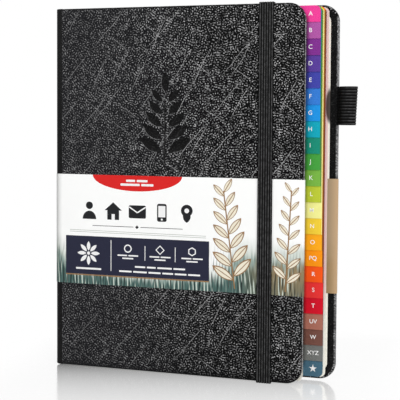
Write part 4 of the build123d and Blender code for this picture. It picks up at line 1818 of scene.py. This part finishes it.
@dataclass
class PenLoop:
    """The pen loop: a ribbed elastic eye on a tongue that goes into the back cover's fore edge."""

    lines: CaseLines
    elastic: Material
    wall: float = 0.9 * MM
    eye_gap: float = 0.3 * MM
    eye_depth: float = 7.8 * MM
    tongue: Point = (1.02 * MM, 2.18 * MM)
    tongue_length: float = 3 * MM
    tongue_share: float = 0.55
    ribs: int = 13
    rise: float = 0.2 * MM
    slack: float = 0.9 * MM

    @staticmethod
    def on_end(x: float, y: float, z: float) -> Matrix:
        """The move that turns a strip's section to run along X, with its zero at a point."""
        return Matrix(((0, 0, 1, x), (0, 1, 0, y), (1, 0, 0, z), (0, 0, 0, 1)))

    def build(self) -> Iterator[Object]:
        """Builds the eye and the tongue as one piece."""
        low, high = (Vector(corner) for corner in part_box("pen_loop"))
        height, centre_z, fore = high.z - low.z, (high.z + low.z) / 2, self.lines.back_fore
        eye_back, radius = low.y + self.eye_depth, self.eye_depth / 2
        near, far, middle_y = fore + self.eye_gap + radius, high.x - radius, eye_back - radius
        section = ribbed_section(height, self.wall, self.ribs, self.rise)
        move(section, self.on_end(near, eye_back - self.wall, centre_z))
        sweep = Sweep(section, capped=False)
        for start, end in ((near, far), (far, near)):
            sweep.run((end - start, 0, 0), 3)
            sweep.bend((end, middle_y, 0), (0, 0, 1), -180, 18)
        eye = sweep.shape
        bmesh.ops.remove_doubles(eye, verts=eye.verts[:], dist=WELD)
        outer, inner = self.tongue
        strip = ribbed_section(height, inner - outer, self.ribs, self.rise)
        start = fore - self.tongue_length
        move(strip, self.on_end(start, self.lines.back - inner, centre_z))
        absorb(eye, Sweep(strip).run((near - start - radius * self.tongue_share, 0, 0), 4).close())
        for vert in eye.verts:
            outward = max(0.0, (vert.co.x - fore) / (high.x - fore))
            vert.co.x -= self.slack * outward * (high.z - vert.co.z) / height
        piece = finish_piece("pen_loop_elastic", eye, (self.elastic,), 60.0)
        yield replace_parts(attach(piece, "back_cover"), "pen_loop")


@dataclass
class EndBands:
    """The small rolls at head and tail of the spine, wound with thread."""

    thread: Material
    pitch: float = 0.55 * MM
    waist: float = 0.86

    def roll(self, node: str) -> Object:
        """One roll, drawn in between each two turns of its thread."""
        low, high = (Vector(corner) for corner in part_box(node))
        turns = max(2, round((high.y - low.y) / self.pitch))
        step = (high.y - low.y) / (2 * turns)
        section = FlatArt.disc((high.z - low.z) / 2, 20)
        middle = (low + high) / 2
        move(section, upright((middle.x, low.y, middle.z)))
        centre = Matrix.Translation((-middle.x, 0, -middle.z))
        sweep = Sweep(section)
        for place in range(2 * turns):
            sweep.run((0, step, 0))
            ring = list({vert for edge in sweep.ends for vert in edge.verts})
            size = 1 / self.waist if place % 2 else self.waist
            bmesh.ops.scale(sweep.shape, vec=(size, 1, size), space=centre, verts=ring)
        piece = finish_piece(f"{node}_thread", sweep.close(), (self.thread,), 75.0)
        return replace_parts(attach(piece, "spine"), node)

    def build(self) -> Iterator[Object]:
        """Builds both rolls."""
        yield self.roll("head_band")
        yield self.roll("tail_band")


@dataclass
class InnerPapers:
    """The CAD nodes that stay as they are and only get their finish."""

    endpaper: Material
    back_endpaper: Material
    last_leaf: Material

    def build(self) -> Iterator[Object]:
        """Gives the endpapers and the spine's lining their material."""
        wanted = {
            "front_pastedown": self.endpaper, "back_pastedown": self.back_endpaper,
            "spine_lining": self.endpaper, "front_flyleaf": self.endpaper, "back_flyleaf": self.last_leaf,
        }
        for name, material in wanted.items():
            node = frame["nodes"][name]
            node.data.materials.clear()
            node.data.materials.append(material)
            yield node


@dataclass
class Studio:
    """The pale floor, the soft lights and the camera; each lamp has a name, a place, a size and a power."""

    camera_place: tuple[float, float, float] = (0.12545, -0.4738, 0.1513)
    yaw: float = 14.95
    pitch: float = -2.22
    roll: float = 0.35
    lens: float = 76.02
    shift: float = -0.13
    lamps: tuple[tuple[str, tuple[float, float, float], float, float], ...] = (
        ("key", (0.85, -0.95, 0.95), 1.0, 13.2),
        ("fill", (-0.55, -1.1, 0.55), 0.8, 3.2),
        ("top", (0.1, 0.25, 1.3), 0.9, 4.5),
    )
    lamp_aim: tuple[float, float, float] = (0.0, 0.0, 0.1)
    sky_light: float = 0.34
    floor_half: float = 2.0
    floor_grey: Colour = (0.84, 0.84, 0.84, 1.0)
    fade_start: float = -0.02
    fade_length: float = 0.05
    mirror_reach: Point = (0.1, 0.3)
    mirror_share: float = 0.59
    mirror_blur: float = 0.13
    shade_reach: Point = (0.088, 0.13)
    shade_share: float = 0.10

    def camera(self) -> None:
        """Makes the camera and sets it as the scene's."""
        data = bpy.data.cameras.new("camera")
        data.lens, data.sensor_width, data.shift_y = self.lens, 36.0, self.shift
        data.clip_start = 0.01
        camera = show("camera", data)
        aim = Euler((math.radians(90 + self.pitch), 0.0, math.radians(self.yaw))).to_matrix()
        aim = aim @ Matrix.Rotation(math.radians(self.roll), 3, "Z")
        camera.matrix_world = Matrix.Translation(self.camera_place) @ aim.to_4x4()
        bpy.context.scene.camera = camera

    def lights(self) -> None:
        """Hangs the soft lamps."""
        for name, place, size, power in self.lamps:
            data = bpy.data.lights.new(f"{name}_lamp", "AREA")
            data.shape, data.size, data.energy = "DISK", size, power
            lamp = show(f"{name}_lamp", data)
            way = Vector(self.lamp_aim) - Vector(place)
            lamp.matrix_world = Matrix.Translation(place) @ way.to_track_quat("-Z", "Y").to_matrix().to_4x4()

    def world(self) -> None:
        """Lights the scene softly from all round, and shows white behind it."""
        world = bpy.data.worlds.new("studio")
        bpy.context.scene.world = world
        world.use_nodes = True
        sheet = NodeSheet(world.node_tree)
        background = sheet.tree.nodes["Background"].inputs
        sheet.feed(background["Color"], WHITE)
        sheet.feed(background["Strength"], sheet.seen().ramp(0.0, 1.0, self.sky_light))

    def floor(self) -> None:
        """Lays the white floor, which keeps the shadow and a fading mirror image near the book."""
        shape = bmesh.new()
        bmesh.ops.create_grid(shape, x_segments=8, y_segments=8, size=self.floor_half)
        mesh = bpy.data.meshes.new("floor")
        shape.to_mesh(mesh)
        shape.free()
        material = bpy.data.materials.new("floor")
        material.use_nodes = True
        sheet = NodeSheet(material.node_tree)
        sheet.tree.nodes.remove(sheet.tree.nodes["Principled BSDF"])
        x, y, _ = sheet.axes(sheet.object_place())
        reach = abs(x).most(abs(y))
        turn = math.radians(self.yaw)
        nearer = x * math.sin(turn) + y * -math.cos(turn)
        fading = sheet.math("EXPONENT", nearer.most(self.fade_start) / -self.fade_length)
        mirror = fading * reach.ramp(*self.mirror_reach, self.mirror_share, 0.0)
        shade = reach.ramp(*self.shade_reach, self.shade_share, 0.0)
        glow = sheet.add("Emission", Color=WHITE, Strength=1.0).outputs[0]
        gloss = sheet.add("BsdfGlossy", Color=WHITE, Roughness=self.mirror_blur).outputs[0]
        matt = sheet.add("BsdfDiffuse", Color=self.floor_grey).outputs[0]
        looked_at = sheet.blend(shade, sheet.blend(mirror, glow, gloss), matt)
        surface = sheet.blend(sheet.seen(), matt, looked_at)
        sheet.feed(sheet.tree.nodes["Material Output"].inputs["Surface"], surface)
        mesh.materials.append(material)
        floor = show("floor", mesh)

    def build(self) -> None:
        """Builds the studio."""
        bpy.context.scene.view_settings.view_transform = "Standard"
        self.camera()
        self.lights()
        self.world()
        self.floor()


def main() -> None:
    """Builds the studio and each sub-assembly in order."""
    Studio().build()
    lines = CaseLines.read()
    leather = Leatherette(
        "leatherette", 0.6, 0.045, shading_ramp_start=lines.spine + 12 * MM, shading_ramp_end=lines.front_fore - 18 * MM,
        tail=lines.tail,
    ).material()
    # The smooth leatherette is a darker copy with few streaks: on the pressed sprig it is the smoother
    # pressed leather; on the bends, the turned-in sides and the back rim beside the pen loop it is a painted
    # shade.
    smooth = Leatherette(
        "smooth_leatherette", 0.45, 0.07, reflected_haze=(0.004, 0.004, 0.0042, 1.0), streak_share=0.05,
        tail=lines.tail,
    ).material()
    cream = (0.93, 0.91, 0.815, 1.0)
    endpaper = PlainPaper("endpaper", 0.6, 0.2, cream).material()
    loop_low, loop_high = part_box("pen_loop")
    loop_middle = (loop_low[2] + loop_high[2]) / 2
    by_loop = (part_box("back_pastedown")[1][0], loop_middle)
    back_endpaper = PlainPaper("back_endpaper", 0.6, 0.2, cream, loop_shadow_middle=by_loop).material()
    last_leaf = PlainPaper(
        "last_leaf_paper", 0.6, 0.2, cream, red_bounce_line=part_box("leaves_star")[1][0] + 0.3 * MM,
        loop_shadow_middle=by_loop,
    ).material()
    band_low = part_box("band_front")[0]
    strap_low, strap_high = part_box("elastic_strap")
    band = BandPaper(
        "band_paper", 0.45, 0.2, foot=band_low[2], left_slope=lines.spine,
        right_slope=lines.spine + 116 * MM, slope_start=lines.front_fore - 42 * MM,
        wrap_start=lines.front_fore + 2 * MM, wrap_end=lines.back_fore,
    ).material()
    assemblies = (
        Case(lines, leather, smooth),
        IndexBlock(PrintInk("mark_ink", 0.5, 0.15, screen_colour(250, 250, 250), 0.04).material()),
        BellyBand(lines, band),
        BandPrint(lines),
        Strap(Elastic(
            "strap_elastic", 0.65, 0.06, middle=(strap_low[0] + strap_high[0]) / 2,
            width=strap_high[0] - strap_low[0], ribs=Strap.ribs,
        ).material()),
        PenLoop(lines, Elastic(
            "loop_elastic", 0.7, 0.05, crest=(0.095, 0.095, 0.096, 1.0), upright=False, middle=loop_middle,
            width=loop_high[2] - loop_low[2], ribs=PenLoop.ribs, shaded_end=lines.back_fore,
            shading_ramp_end=loop_high[0] - 3 * MM,
        ).material()),
        EndBands(EndBandThread("end_band_thread", 0.6, 0.15).material()),
        InnerPapers(endpaper, back_endpaper, last_leaf),
    )
    for assembly in assemblies:
        for piece in assembly.build():
            log.info("%s: %s, %d faces", type(assembly).__name__, piece.name, len(piece.data.polygons))


if __name__ == "__main__":
    main()
